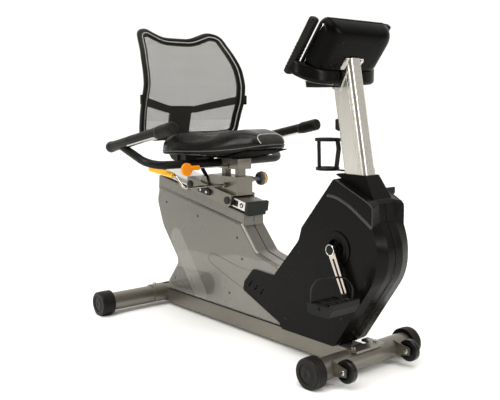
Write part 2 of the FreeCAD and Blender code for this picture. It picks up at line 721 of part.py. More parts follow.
def recline_paddle():
    neck = rod(V(RECLINE_LEVER_X, -180, RECLINE_LEVER_Z), V(RECLINE_LEVER_X, -222, RECLINE_LEVER_Z), 9)
    disc = rod(V(RECLINE_LEVER_X - 6, -236, RECLINE_LEVER_Z - 4),
               V(RECLINE_LEVER_X + 6, -236, RECLINE_LEVER_Z - 4), 24.5)
    disc = disc.makeFillet(3, [disc.Edges[0], disc.Edges[2]])
    return fused([neck, disc]).cut(recline_lever())


def lock_knob():
    """Knob and shaft that pin the carriage."""
    shaft = across(KNOB_X, KNOB_Z, 8, 39, 94)
    knob = across(KNOB_X, KNOB_Z, 26, 93, 118)
    knob = softened(knob, 5, on_plane_y(118))
    knob = knob.cut(ring(KNOB_X, KNOB_Z, 21, 8, 92, 97))
    return fused([knob, shaft])


# ---- seat ----

def seat_mount():
    """Square box under the seat, open in front, that clamps the handlebar's cross tube."""
    shell = box(-226, -93, -34, 34, 643, 683).cut(box(-186, -92, -29, 29, 648, 679))
    bore = across(CROSS_TUBE_X, CROSS_TUBE_Z, BAR_R, -60, 60)
    lever_bore = across(RECLINE_LEVER_X, RECLINE_LEVER_Z, 4.6, -40, -20)
    slot = box(RECLINE_LEVER_X - 4.6, RECLINE_LEVER_X + 4.6, -40, -26, RECLINE_LEVER_Z - 9,
               RECLINE_LEVER_Z + 9)
    return cut_all(shell, [bore, lever_bore, slot])


def seat_pan():
    """Pressed pan, its struts down to the mount and the ears of the recline pivot."""
    pan = plate([(-412, 690), (-90, 690), (40, 722), (40, 726), (-92, 694), (-412, 694)], -100, 100)
    struts = []
    for x0, x1 in ((-120, -60), (-215, -240)):
        for side in (-1, 1):
            foot = V(x0, side * 26, 684)
            head = V(x1, side * 84, 692 + max(0, (x1 + 90) * 0.246))
            struts.append(rod(foot, head, 8))
    under = box(-500, 100, -200, 200, 600, 683)
    struts = [strut.cut(under) for strut in struts]
    saddle = box(-226, -93, -34, 34, 683, 690)
    ear = plate([(-420, 692), (-415, 655), (-380, 652), (-330, 692)], -53, -47, 6)
    pin = across(RECLINE_X, RECLINE_Z, 6, -50, 50)
    above = plate([(-412, 694), (-92, 694), (40, 726), (40, 760), (-412, 760)], -150, 150)
    pieces = [piece.cut(above) for piece in struts + [ear, mirrored(ear)]]
    return fused([pan, saddle, pin] + pieces)


def seat_cushion():
    """Saddle-shaped cushion: a plan outline met with a side outline."""
    plan = [(-418, -150), (-400, -198), (-330, -212), (-200, -206), (-70, -150), (30, -70), (87, -44),
            (87, 44), (30, 70), (-70, 150), (-200, 206), (-330, 212), (-400, 198), (-418, 150)]
    side = [(-420, 712), (-400, 694.5), (-92, 694.5), (40, 726.5), (88, 736), (92, 756), (60, 786),
            (-31, 799), (-140, 784), (-230, 769), (-300, 771), (-360, 778), (-405, 768), (-420, 745)]
    return slab(plan, 690, 810, 6).common(plate(side, -220, 220, 5))


BAR_BENDS = [90, 80]
GRIP_REAR = V(-500, GRIP_Y, 724.4)
GRIP_FRONT = V(-60, GRIP_Y, 811)
GRIP_LENGTH = GRIP_REAR.distanceToPoint(GRIP_FRONT)


def lower_bar(radius):
    """Bent bar that runs under the seat, out to both sides and up into the grip tubes."""
    half = [V(CROSS_TUBE_X, 120, CROSS_TUBE_Z), V(-248, 338, 664), V(-432, GRIP_Y, 737.8)]
    right = [V(point.x, -point.y, point.z) for point in half[::-1]]
    return bent_rod(right + half, BAR_BENDS[::-1] + BAR_BENDS, radius)


def grip_tube(side, radius):
    return rod(*grip_axis(side, 0, GRIP_LENGTH), radius)


def seat_handlebar():
    """Bent bar under the seat with a straight grip tube welded on at each end."""
    outer = fused([lower_bar(BAR_R)] + [grip_tube(side, TUBE_R) for side in (-1, 1)])
    bores = [rod(*grip_axis(side, -1, GRIP_LENGTH + 1), TUBE_R - 2.5) for side in (-1, 1)]
    return cut_all(outer, bores + [lower_bar(BAR_R - 2.5)])


def grip_axis(side, start, end):
    """Part of a grip tube's middle line, by distance back from its tip."""
    tip = V(GRIP_FRONT.x, side * GRIP_Y, GRIP_FRONT.z)
    back = (V(GRIP_REAR.x, side * GRIP_Y, GRIP_REAR.z) - tip).normalize()
    return tip + back * start, tip + back * end


def handlebar_grips():
    grips = []
    for side in (-1, 1):
        body = rod(*grip_axis(side, 0, GRIP_LENGTH + 5), TUBE_R + 3.5)
        tip = rod(*grip_axis(side, -8, 84), TUBE_R + 6)
        tip = tip.makeFillet(7, [tip.Edges[0], tip.Edges[2]])
        grips.append(cut_all(fused([body, tip]), [grip_tube(side, TUBE_R), lower_bar(BAR_R)]))
    return grips


def pulse_plate(side):
    """Thin metal strip let into the grip's lower side."""
    front, rear = grip_axis(side, 100, 300)
    sleeve = rod(front, rear, TUBE_R + 5).cut(rod(front, rear, TUBE_R + 1.5))
    low = min(front.z, rear.z) - 40
    half = box(rear.x - 20, front.x + 20, side * GRIP_Y - 15, side * GRIP_Y + 15, low, low + 200)
    below = half.cut(plate([(rear.x - 60, rear.z - 8), (front.x + 60, front.z - 8),
                            (front.x + 60, 1000), (rear.x - 60, 1000)], -400, 400))
    return sleeve.common(below)


def back_depth(y, z):
    """How far forward the back's middle surface is at each place: bowed and wrapped."""
    heights = [730, 790, 850, 913, 975, 1040, 1110, 1170, 1215]
    depths = [-523, -518, -506, -487, -474, -487, -519, -558, -582]
    for i in range(len(heights) - 1):
        if z <= heights[i + 1]:
            share = (z - heights[i]) / (heights[i + 1] - heights[i])
            return depths[i] + share * (depths[i + 1] - depths[i]) + 0.0011 * y * y
    return depths[-1] + 0.0011 * y * y


def back_sheet(behind, thickness):
    """Curved slab that the back's pieces are trimmed from."""
    rows = []
    for i in range(12):
        z = 730 + i * (485 / 11)
        rows.append([V(back_depth(j * 60 - 300, z) - behind, j * 60 - 300, z) for j in range(11)])
    surface = Part.BSplineSurface()
    surface.interpolate(rows)
    return surface.toShape().extrude(V(thickness, 0, 0))


BACK_HALF_OUTLINE = [(70, 1176, 150), (160, 1209, 60), (212, 1196, 45), (250, 1060, 300),
                     (262, 900, 300), (250, 752, 50), (150, 742, 100)]


def back_prism(inset):
    """The back's front-view outline, inset and run through the bike's length."""
    half = BACK_HALF_OUTLINE
    corners = [V(-700, y, z) for y, z, radius in half] + [V(-700, -y, z) for y, z, radius in half[::-1]]
    radii = [radius for y, z, radius in half] + [radius for y, z, radius in half[::-1]]
    points = []
    for i, corner in enumerate(corners):
        come = (corner - corners[i - 1]).normalize()
        go = (corners[(i + 1) % len(corners)] - corner).normalize()
        inward = V(0, come.z + go.z, -come.y - go.y)
        points.append(corner + inward * (inset / (1 + come.dot(go))))
    wire = rounded_loop(points, [max(radius - inset, 12) for radius in radii])
    return Part.Face(wire).extrude(V(500, 0, 0))


def seat_back_frame():
    ring_prism = back_prism(0).cut(back_prism(30))
    frame = back_sheet(14, 26).common(ring_prism)
    groove = back_sheet(2, 2.4).common(back_prism(20))
    lugs = [box(-446, -414, side * 262 - 9, side * 262 + 9, 893, 933) for side in (-1, 1)]
    lugs = [lug.common(back_sheet(14, 26)) for lug in lugs]
    return fused([frame] + lugs).cut(groove)


def seat_back_mesh():
    return back_sheet(2, 2.4).common(back_prism(20))


def seat_back_support():
    """T-shaped bar behind the mesh, curving under the seat to the recline pivot."""
    side = [(-530, 888, 4), (-554, 790, 200), (-558, 706, 60), (-526, 656, 50), (-410, 652), (-380, 660),
            (-380, 684), (-410, 688), (-506, 688, 30), (-540, 722, 40), (-538, 790, 200), (-510, 888, 4)]
    stem = plate(side, -52, 52, 4)
    narrow = box(-480, -340, -60, -43, 600, 720).fuse(box(-480, -340, 43, 60, 600, 720))
    stem = stem.cut(narrow)
    bar_band = box(-700, -300, -256, 256, 858, 930)
    bowed = plate_in_front_view([(-250, 930), (-250, 896), (-60, 856), (60, 856), (250, 896), (250, 930),
                                 (60, 886), (-60, 886)])
    bar = back_sheet(26, 12).common(bowed).common(bar_band)
    knuckle = across(RECLINE_X, RECLINE_Z, 17, -44, 44)
    lever = plate([(RECLINE_X - 10, RECLINE_Z - 12), (-340, 638), (-334, 652),
                   (RECLINE_X + 6, RECLINE_Z + 10)], -44, -38, 3)
    pin = across(STRUT_HIGH.x, STRUT_HIGH.z, 4, -41, -22)
    body = fused([stem, bar, knuckle, lever, pin])
    return body.cut(across(RECLINE_X, RECLINE_Z, 6.05, -80, 80))


def plate_in_front_view(outline):
    points = [V(-700, y, z) for y, z in outline]
    return Part.Face(Part.makePolygon(points + [points[0]])).extrude(V(500, 0, 0))


def strut_axis():
    low = V(STRUT_LOW.x, STRUT_Y, STRUT_LOW.z)
    high = V(STRUT_HIGH.x, STRUT_Y, STRUT_HIGH.z)
    return low, high, (high - low).normalize()


def strut_cylinder():
    low, high, along = strut_axis()
    body = rod(low + along * 6, low + along * 58, 8)
    eye = across(low.x, low.z, 8, STRUT_Y - 5, STRUT_Y + 5)
    body = fused([body, eye]).cut(across(low.x, low.z, 4.05, -60, 0))
    return body.cut(rod(low + along * 20, low + along * 60, 4.05))


def strut_rod():
    low, high, along = strut_axis()
    shaft = rod(low + along * 24, high - along * 6, 4)
    eye = across(high.x, high.z, 9.5, STRUT_Y - 4, STRUT_Y + 4)
    return fused([shaft, eye]).cut(across(high.x, high.z, 5.8, -60, 0))


# ---- mast and console ----

def mast():
    """Aluminium extrusion with rounded edges and two long grooves on each side."""
    half_d = MAST_DEPTH / 2
    half_w = MAST_WIDTH / 2
    bar = box(-half_d, half_d, -half_w, half_w, 0, MAST_LENGTH)
    bar = softened(bar, 14, lambda edge: abs(edge.Vertexes[0].Z - edge.Vertexes[-1].Z) > 100)
    bore = box(-42, 42, -25, 25, -1, MAST_LENGTH + 1)
    bar = bar.cut(softened(bore, 10, lambda edge: abs(edge.Vertexes[0].Z - edge.Vertexes[-1].Z) > 100))
    for x in (22, 30):
        for side in (-1, 1):
            y = side * (half_w + 0.8)
            bar = bar.cut(rod(V(x, y, -1), V(x, y, MAST_LENGTH + 1), 1.8))
    bar = placed(bar, MAST_PLACE)
    above = placed(box(-300, 300, -200, 200, -CONSOLE_DEPTH - 4, 300), CONSOLE_PLACE)
    return bar.cut(above)


def console_loft(half_w, half_h, depth, draft_w, draft_h):
    """Rounded block whose back is smaller than its rim."""
    wires = []
    for z, w, h in ((0, half_w, half_h), (-depth, half_w - draft_w, half_h - draft_h)):
        corners = [V(-w, -h, z), V(w, -h, z), V(w, h, z), V(-w, h, z)]
        wires.append(rounded_loop(corners, [26] * 4))
    return Part.makeLoft(wires, True, True)


def console_shell():
    outer = console_loft(CONSOLE_HALF_W, CONSOLE_HALF_H, CONSOLE_DEPTH, 20, 16)
    outer = softened(outer, 12, lambda edge: all(abs(v.Z + CONSOLE_DEPTH) < 0.01 for v in edge.Vertexes))
    inner = console_loft(CONSOLE_HALF_W - 4, CONSOLE_HALF_H - 4, CONSOLE_DEPTH - 4, 20, 16)
    inner = softened(inner, 8, lambda edge: all(abs(v.Z - 4 + CONSOLE_DEPTH) < 0.01 for v in edge.Vertexes))
    return placed(outer.cut(inner), CONSOLE_PLACE)


DISPLAY = (-82, 82, 6, 74)


def console_face():
    corners = [V(-CONSOLE_HALF_W, -CONSOLE_HALF_H, 0), V(CONSOLE_HALF_W, -CONSOLE_HALF_H, 0),
               V(CONSOLE_HALF_W, CONSOLE_HALF_H, 0), V(-CONSOLE_HALF_W, CONSOLE_HALF_H, 0)]
    bezel = Part.Face(rounded_loop(corners, [26] * 4)).extrude(V(0, 0, 10))
    bezel = softened(bezel, 5, lambda edge: all(abs(v.Z - 10) < 0.01 for v in edge.Vertexes))
    x0, x1, y0, y1 = DISPLAY
    window = box(x0, x1, y0, y1, 4, 20)
    key_hole = rod(V(-60, -40, -1), V(-60, -40, 20), 13.4)
    rocker_hole = box(22.8, 97.2, -54.5, -25.5, -1, 20)
    ledge = box(-130, 130, -86, -80, 8, 22)
    return placed(cut_all(fused([bezel, ledge]), [window, key_hole, rocker_hole]), CONSOLE_PLACE)


def console_display():
    x0, x1, y0, y1 = DISPLAY
    return placed(box(x0, x1, y0, y1, 4, 8.5), CONSOLE_PLACE)


def start_key():
    key = rod(V(-60, -40, 1), V(-60, -40, 13), 13)
    key = softened(key, 2, lambda edge: all(abs(v.Z - 13) < 0.01 for v in edge.Vertexes))
    return placed(key, CONSOLE_PLACE)


def level_rocker():
    key = box(24, 96, -54, -26, 2, 12.5)
    key = key.cut(box(56, 64, -60, -20, 11, 20))
    return placed(key, CONSOLE_PLACE)


def mast_bracket():
    """Plate on the console's back with two cheeks down the sides of the mast."""
    back = -CONSOLE_DEPTH
    top = box(-44, 44, -52, -8, back - 4, back)
    top = softened(top, 6, lambda edge: abs(edge.Vertexes[0].Z - edge.Vertexes[-1].Z) > 3)
    slot = box(-24, 24, -20, -15, back - 5, back + 1)
    holes = [rod(V(x, -17, back - 5), V(x, -17, back + 1), 4) for x in (-36, 36)]
    plate_piece = placed(cut_all(top, [slot] + holes), CONSOLE_PLACE)
    cheek = plate([(398, 1018), (470, 1042), (466, 1000), (436, 940), (404, 946)], -33, -29, 5)
    cheek = cheek.cut(placed(box(-60, 60, -200, 200, back, 200), CONSOLE_PLACE))
    bolts = [placed(rod(V(x, -17, back - 8), V(x, -17, back - 4), 6), CONSOLE_PLACE).fuse(
        placed(rod(V(x, -17, back - 5), V(x, -17, back), 4), CONSOLE_PLACE)) for x in (-36, 36)]
    return fused([plate_piece, cheek, mirrored(cheek)] + bolts)


def console_handlebar():
    """Moulded bar: a flat grip each side, joined round the mast by a curved band."""
    grips = []
    for side in (-1, 1):
        bar = box(-17 + side * 174, 17 + side * 174, -128, 82, 4, 28)
        bar = bar.makeFillet(9, bar.Edges)
        grips.append(placed(bar, CONSOLE_PLACE))
    path = bent_path([V(372, -170, 1016), V(432, -132, 984), V(432, 132, 984), V(372, 170, 1016)], [34, 34])
    start = V(372, -170, 1016)
    along = V(60, 38, -32).normalize()
    across_way = along.cross(V(0, 0, 1)).normalize()
    up = across_way.cross(along).normalize()
    corners = [start + across_way * a * 12 + up * b * 22 for a, b in ((-1, -1), (1, -1), (1, 1), (-1, 1))]
    section = Part.makePolygon(corners + [corners[0]])
    band = path.makePipeShell([section], True, False)
    tray = plate([(352, 972), (418, 962), (432, 950), (350, 944)], -112, 112, 4)
    spine = box(400, 440, -60, 60, 950, 985)
    console_room = placed(box(-CONSOLE_HALF_W - 0.5, CONSOLE_HALF_W + 0.5, -CONSOLE_HALF_H - 0.5,
                              CONSOLE_HALF_H + 0.5, -CONSOLE_DEPTH - 0.5, 12), CONSOLE_PLACE)
    whole = fused([band, tray, spine] + grips).cut(console_room)
    mast_room = placed(box(-MAST_DEPTH / 2 - 0.2, MAST_DEPTH / 2 + 0.2, -33.2, 33.2, 0, 700), MAST_PLACE)
    return whole.cut(mast_room)


def bottle_cage():
    """Flat-band cage held by a strip down the mast's rear face."""
    x, z_top, z_low = 356, 776, 676
    hoops = []
    for z, outer in ((z_top, 45), (z_low, 41)):
        disc = Part.makeCylinder(outer, 10, V(x, 0, z - 5))
        hoops.append(disc.cut(Part.makeCylinder(outer - 5, 12, V(x, 0, z - 6))))
    base_bar = box(x - 38, 454, -7, 7, z_low - 4, z_low + 1)
    outer_bar = plate([(x - 47, z_top + 3), (x - 41, z_top + 3), (x - 37, z_low - 3),
                       (x - 43, z_low - 3)], -6, 6)
    strap = plate([(x + 41, z_top + 3), (x + 47, z_top + 3), (x + 54, z_top - 30), (x + 43, z_low - 3),
                   (x + 37, z_low - 3), (x + 47, z_top - 30)], -8, 8)
    strip = plate([(415, 852), (424, 852), (460.2, 671), (451.2, 671)], -9, 9)
    clip = plate([(398, 846), (424, 850), (430, 818), (414, 806), (398, 812)], -10, 10, 4)
    room = placed(box(-MAST_DEPTH / 2, MAST_DEPTH, -40, 40, 0, 700), MAST_PLACE)
    return fused(hoops + [base_bar, outer_bar, strap, strip, clip]).cut(room)


def main():
    os.makedirs("parts", exist_ok=True)
    export("main_beam", main_beam())
    export("rear_foot", rear_foot())
    export("front_foot", front_foot())
    export("foot_bolts", foot_bolts())
    export("foot_caps", foot_caps())
    export("transport_wheel_right", transport_wheel(-1))
    export("transport_wheel_left", transport_wheel(1))
    export("seat_post_frame", seat_post_frame())
    export("seat_rail", seat_rail())
    export("rail_end_caps", rail_end_caps())
    rear = cut_all(rear_shroud(), screw_holes())
    export("rear_shroud_right", rear)
    export("rear_shroud_left", mirrored(rear))
    front = cut_all(front_shroud(), screw_holes())
    export("front_shroud_right", front)
    export("front_shroud_left", mirrored(front))
    export("shroud_screws", shroud_screws())
    export("mast_boot", mast_boot())
    export("drive_frame", drive_frame())
    export("crank_bearings", crank_bearings())
    export("crank_axle", crank_axle())
    export("drive_pulley", drive_pulley())
    export("flywheel_axle", flywheel_axle())
    export("flywheel", flywheel())
    export("drive_belt", drive_belt())
    export("brake_arm", brake_arm())
    export("pedal_spindles", pedal_spindles())
    for side, name in ((-1, "right"), (1, "left")):
        export("crank_arm_" + name, crank_arm(side)[0])
        export("pedal_" + name, pedal(side))
        export("pedal_strap_" + name, pedal_strap(side))
    export("carriage_frame", carriage_frame())
    export("carriage_side_caps", carriage_side_caps())
    export("carriage_rollers_front", carriage_rollers(ROLLER_FRONT))
    export("carriage_rollers_rear", carriage_rollers(ROLLER_REAR))
    export("slide_lever", slide_lever())
    export("slide_lever_grip", slide_lever_grip())
    export("recline_lever", recline_lever())
    export("recline_paddle", recline_paddle())
    export("lock_knob", lock_knob())
    export("seat_mount", seat_mount())
    export("seat_pan", seat_pan())
    export("seat_cushion", seat_cushion())
    handlebar = seat_handlebar()
    export("seat_handlebar", handlebar)
    plates = [pulse_plate(side) for side in (-1, 1)]
    grips = [cut_all(grip, plates) for grip in handlebar_grips()]
    export("handlebar_grips", Part.makeCompound(grips))
    export("pulse_plates", Part.makeCompound(plates))
    export("seat_back_frame", seat_back_frame())
    export("seat_back_mesh", seat_back_mesh())
    export("seat_back_support", seat_back_support())
    export("strut_cylinder", strut_cylinder())
    export("strut_rod", strut_rod())
    export("mast", mast())
    export("console_shell", console_shell())
    export("console_face", console_face())
    export("console_display", console_display())
    export("console_start_key", start_key())
    export("console_rocker", level_rocker())
    export("mast_bracket", mast_bracket())
    export("console_handlebar", console_handlebar())
    export("bottle_cage", bottle_cage())


main()
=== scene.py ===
import json
import math

import bpy
import bmesh
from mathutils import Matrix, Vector


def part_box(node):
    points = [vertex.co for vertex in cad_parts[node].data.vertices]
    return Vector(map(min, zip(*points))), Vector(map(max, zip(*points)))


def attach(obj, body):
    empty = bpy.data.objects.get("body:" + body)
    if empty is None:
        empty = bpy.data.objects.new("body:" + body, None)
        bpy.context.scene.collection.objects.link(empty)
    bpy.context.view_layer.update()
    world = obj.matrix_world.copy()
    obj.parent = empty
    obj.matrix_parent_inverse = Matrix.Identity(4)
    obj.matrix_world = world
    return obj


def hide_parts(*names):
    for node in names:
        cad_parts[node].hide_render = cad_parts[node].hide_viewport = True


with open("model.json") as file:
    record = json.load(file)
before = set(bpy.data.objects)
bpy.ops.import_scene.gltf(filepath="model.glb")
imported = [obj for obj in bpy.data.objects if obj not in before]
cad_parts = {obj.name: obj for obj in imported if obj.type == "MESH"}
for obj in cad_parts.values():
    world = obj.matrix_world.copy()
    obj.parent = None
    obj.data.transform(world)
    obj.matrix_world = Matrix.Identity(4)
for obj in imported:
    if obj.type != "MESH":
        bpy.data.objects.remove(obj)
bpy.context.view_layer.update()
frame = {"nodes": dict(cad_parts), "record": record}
nodes = frame["nodes"]

# The bike is described in drawing coordinates, in millimetres, in which the crank axle is here.
CRANK = (476, 0, 422)
axle_low, axle_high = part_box("crank_axle")
SHIFT = (axle_low.x + axle_high.x) / 2 - CRANK[0] / 1000


def mm(x, y, z):
    """Place in drawing coordinates, as metres in the frame."""
    return Vector((x / 1000 + SHIFT, y / 1000, z / 1000))


# ---------------------------------------------------------------- materials

class Graph:
    """Short names for building one node material."""

    def __init__(self, name):
        self.mat = bpy.data.materials.new(name)
        self.mat.use_nodes = True
        self.tree = self.mat.node_tree
        self.shader = self.tree.nodes["Principled BSDF"]
        self.place = self.add("ShaderNodeTexCoord").outputs["Object"]

    def add(self, kind, **values):
        node = self.tree.nodes.new(kind)
        for key, value in values.items():
            setattr(node, key, value)
        return node

    def link(self, source, target):
        self.tree.links.new(source, target)

    def put(self, node, key, value):
        if isinstance(value, bpy.types.NodeSocket):
            self.link(value, node.inputs[key])
        else:
            node.inputs[key].default_value = value

    def math(self, operation, a, b=0.0):
        node = self.add("ShaderNodeMath", operation=operation)
        for index, value in enumerate((a, b)):
            self.put(node, index, value)
        return node.outputs[0]

    def stretched(self, scale):
        node = self.add("ShaderNodeMapping")
        self.link(self.place, node.inputs["Vector"])
        node.inputs["Scale"].default_value = scale
        return node.outputs[0]

    def noise(self, scale, detail=3.0, rough=0.55, vector=None):
        node = self.add("ShaderNodeTexNoise")
        self.put(node, "Vector", vector or self.place)
        self.put(node, "Scale", scale)
        self.put(node, "Detail", detail)
        self.put(node, "Roughness", rough)
        return node.outputs["Fac"]

    def cells(self, scale, feature="F1"):
        node = self.add("ShaderNodeTexVoronoi", feature=feature)
        self.put(node, "Vector", self.place)
        self.put(node, "Scale", scale)
        return node.outputs["Distance"]

    def ramp(self, value, low, high, start=0.0, end=1.0):
        node = self.add("ShaderNodeMapRange", clamp=True)
        self.put(node, "Value", value)
        for key, number in (("From Min", low), ("From Max", high), ("To Min", start), ("To Max", end)):
            self.put(node, key, number)
        return node.outputs[0]

    def mix(self, share, first, second):
        node = self.add("ShaderNodeMix", data_type="RGBA")
        self.put(node, "Factor", share)
        for key, value in (("A", first), ("B", second)):
            socket = [s for s in node.inputs if s.name == key and s.type == "RGBA"][0]
            if isinstance(value, bpy.types.NodeSocket):
                self.link(value, socket)
            else:
                socket.default_value = (*value, 1)
        return [s for s in node.outputs if s.type == "RGBA"][0]

    def axes(self):
        node = self.add("ShaderNodeSeparateXYZ")
        self.link(self.place, node.inputs[0])
        return node.outputs

    def bump(self, height, strength, distance):
        node = self.add("ShaderNodeBump")
        self.put(node, "Height", height)
        self.put(node, "Strength", strength)
        self.put(node, "Distance", distance)
        return node.outputs[0]

    def finish(self, color, rough, normal=None, **values):
        self.put(self.shader, "Base Color", color)
        self.put(self.shader, "Roughness", rough)
        if normal is not None:
            self.link(normal, self.shader.inputs["Normal"])
        for key, value in values.items():
            self.put(self.shader, key.replace("_", " "), value)
        return self.mat


def scaled(color, factor):
    return tuple(min(1.0, c * factor) for c in color)


def metal_paint(name, color, rough=0.34, metallic=0.75):
    """Metallic paint: fine flake, soft orange peel and faint cloudiness."""
    g = Graph(name)
    cloud = g.noise(9, 4)
    flake = g.cells(1400)
    tone = g.mix(g.ramp(cloud, 0.3, 0.7), scaled(color, 0.93), scaled(color, 1.07))
    tone = g.mix(g.ramp(flake, 0.12, 0.3, 0.35, 0), tone, scaled(color, 1.5))
    normal = g.bump(g.noise(240, 2), 0.05, 0.0006)
    return g.finish(tone, g.ramp(g.noise(28, 3), 0.3, 0.7, rough - 0.04, rough + 0.05), normal,
                    Metallic=metallic, Coat_Weight=0.25, Coat_Roughness=0.22)


def moulded(name, color, rough=0.42, grain=520, depth=0.25, coat=0.0, shine=0.12):
    """Moulded plastic with a fine spark-eroded grain and faint flow marks."""
    g = Graph(name)
    pits = g.noise(grain, 4, 0.7)
    flow = g.noise(6, 3)
    tone = g.mix(g.ramp(flow, 0.3, 0.7), scaled(color, 0.88), scaled(color, 1.12))
    tone = g.mix(g.ramp(pits, 0.35, 0.65, 0.12, 0), tone, scaled(color, 1.6))
    normal = g.bump(pits, depth, 0.0006)
    return g.finish(tone, g.ramp(g.noise(19, 3), 0.25, 0.75, rough - 0.05, rough + 0.07), normal,
                    Coat_Weight=coat, Coat_Roughness=0.25, Specular_IOR_Level=shine)


def brushed(name, color, along, rough=0.3, depth=0.12):
    """Brushed or drawn metal: long fine lines along one axis."""
    g = Graph(name)
    scale = [900, 900, 900]
    scale["XYZ".index(along)] = 6
    lines = g.noise(1, 5, 0.65, g.stretched(scale))
    tone = g.mix(g.ramp(lines, 0.3, 0.7), scaled(color, 0.86), scaled(color, 1.08))
    return g.finish(tone, g.ramp(lines, 0.3, 0.7, rough - 0.07, rough + 0.1),
                    g.bump(lines, depth, 0.0004), Metallic=1.0)


def bright_metal(name, color, rough=0.14):
    """Plated steel, with faint smears and handling marks."""
    g = Graph(name)
    smear = g.noise(40, 4)
    spots = g.noise(420, 2)
    tone = g.mix(g.ramp(smear, 0.35, 0.65), scaled(color, 0.9), color)
    return g.finish(tone, g.ramp(smear, 0.3, 0.75, rough - 0.05, rough + 0.12),
                    g.bump(spots, 0.05, 0.0004), Metallic=1.0)


def rubber(name, color, rough=0.62, grain=700):
    g = Graph(name)
    pits = g.noise(grain, 3, 0.6)
    dust = g.noise(16, 4)
    tone = g.mix(g.ramp(dust, 0.35, 0.75), color, scaled(color, 1.7))
    return g.finish(tone, g.ramp(dust, 0.3, 0.7, rough - 0.06, rough + 0.1), g.bump(pits, 0.3, 0.0006),
                    Specular_IOR_Level=0.14)


def vinyl(name, color, rough=0.34):
    """Upholstery vinyl: pebbled grain in two sizes under a soft coat."""
    g = Graph(name)
    warp = g.noise(60, 2)
    big = g.cells(430, "SMOOTH_F1")
    small = g.cells(1100, "SMOOTH_F1")
    grain = g.math("ADD", big, g.math("MULTIPLY", small, 0.5))
    tone = g.mix(g.ramp(grain, 0.2, 0.9), scaled(color, 1.15), scaled(color, 0.9))
    normal = g.bump(g.math("ADD", grain, g.math("MULTIPLY", warp, 0.2)), 0.12, 0.0004)
    return g.finish(tone, g.ramp(g.noise(14, 3), 0.3, 0.7, rough - 0.05, rough + 0.07), normal,
                    Coat_Weight=0.06, Coat_Roughness=0.2, Specular_IOR_Level=0.14)


def mesh_cloth():
    """Open knitted mesh: diamond holes between dark knitted yarns, seen through."""
    g = Graph("knitted_mesh")
    _, y, z = g.axes()
    pitch = math.pi / 0.0034
    u = g.math("MULTIPLY", g.math("ADD", y, z), pitch)
    v = g.math("MULTIPLY", g.math("SUBTRACT", y, z), pitch)
    wave = g.math("ABSOLUTE", g.math("MULTIPLY", g.math("SINE", u), g.math("SINE", v)))
    g.put(g.shader, "Alpha", g.ramp(wave, 0.48, 0.56, 1.0, 0.0))
    yarn = g.noise(900, 2)
    tone = g.mix(g.ramp(yarn, 0.3, 0.7), (0.018, 0.0175, 0.014), (0.042, 0.04, 0.032))
    normal = g.bump(g.math("ADD", wave, yarn), 0.5, 0.0008)
    return g.finish(tone, 0.6, normal, Specular_IOR_Level=0.2)


def near_line(g, x, z, start, end, radius):
    """1 inside a rounded bar from start to end, in (x, z) millimetres, and 0 outside it."""
    run = (end[0] - start[0], end[1] - start[1])
    length = run[0] ** 2 + run[1] ** 2
    dx = g.math("SUBTRACT", x, start[0])
    dz = g.math("SUBTRACT", z, start[1])
    along = g.math("ADD", g.math("MULTIPLY", dx, run[0] / length), g.math("MULTIPLY", dz, run[1] / length))
    share = g.ramp(along, 0, 1)
    away_x = g.math("SUBTRACT", dx, g.math("MULTIPLY", share, run[0]))
    away_z = g.math("SUBTRACT", dz, g.math("MULTIPLY", share, run[1]))
    squares = g.math("ADD", g.math("MULTIPLY", away_x, away_x), g.math("MULTIPLY", away_z, away_z))
    return g.ramp(g.math("SQRT", squares), radius - 1.5, radius + 1.5, 1, 0)


def casing_paint(name, grey, painted_reflection_grey, pale, dark):
    """Silver-grey gloss paint with a printed sweep of lighter and darker rounded bands at the rear, and a
    painted reflection of the floor: the lower part is painted a lighter grey.
    """
    g = Graph(name)
    across, _, up = g.axes()
    x = g.math("MULTIPLY", g.math("SUBTRACT", across, SHIFT), 1000)
    z = g.math("MULTIPLY", up, 1000)
    height = g.math("SUBTRACT", z, g.math("MULTIPLY", x, 0.095))
    wave = g.math("MULTIPLY", g.math("SINE", g.math("MULTIPLY", x, 0.021)), 7)
    # Painted reflection: below a wavy line the grey turns lighter, standing in for the floor reflected in the
    # lower casing.
    tone = g.mix(g.ramp(g.math("ADD", height, wave), 308, 314, 1, 0), grey, painted_reflection_grey)
    tone = g.mix(near_line(g, x, z, (-500, 148), (-262, 162), 46), tone, dark)
    stripe = near_line(g, x, z, (-486, 322), (-316, 110), 42)
    tone = g.mix(g.math("MULTIPLY", stripe, 0.45), tone, pale)
    flake = g.cells(2600)
    tone = g.mix(g.ramp(flake, 0.1, 0.3, 0.16, 0), tone, pale)
    normal = g.bump(g.noise(190, 2), 0.03, 0.0005)
    return g.finish(tone, g.ramp(g.noise(9, 2), 0.3, 0.7, 0.25, 0.31), normal,
                    Metallic=0.3, Coat_Weight=0.4, Coat_Roughness=0.1)


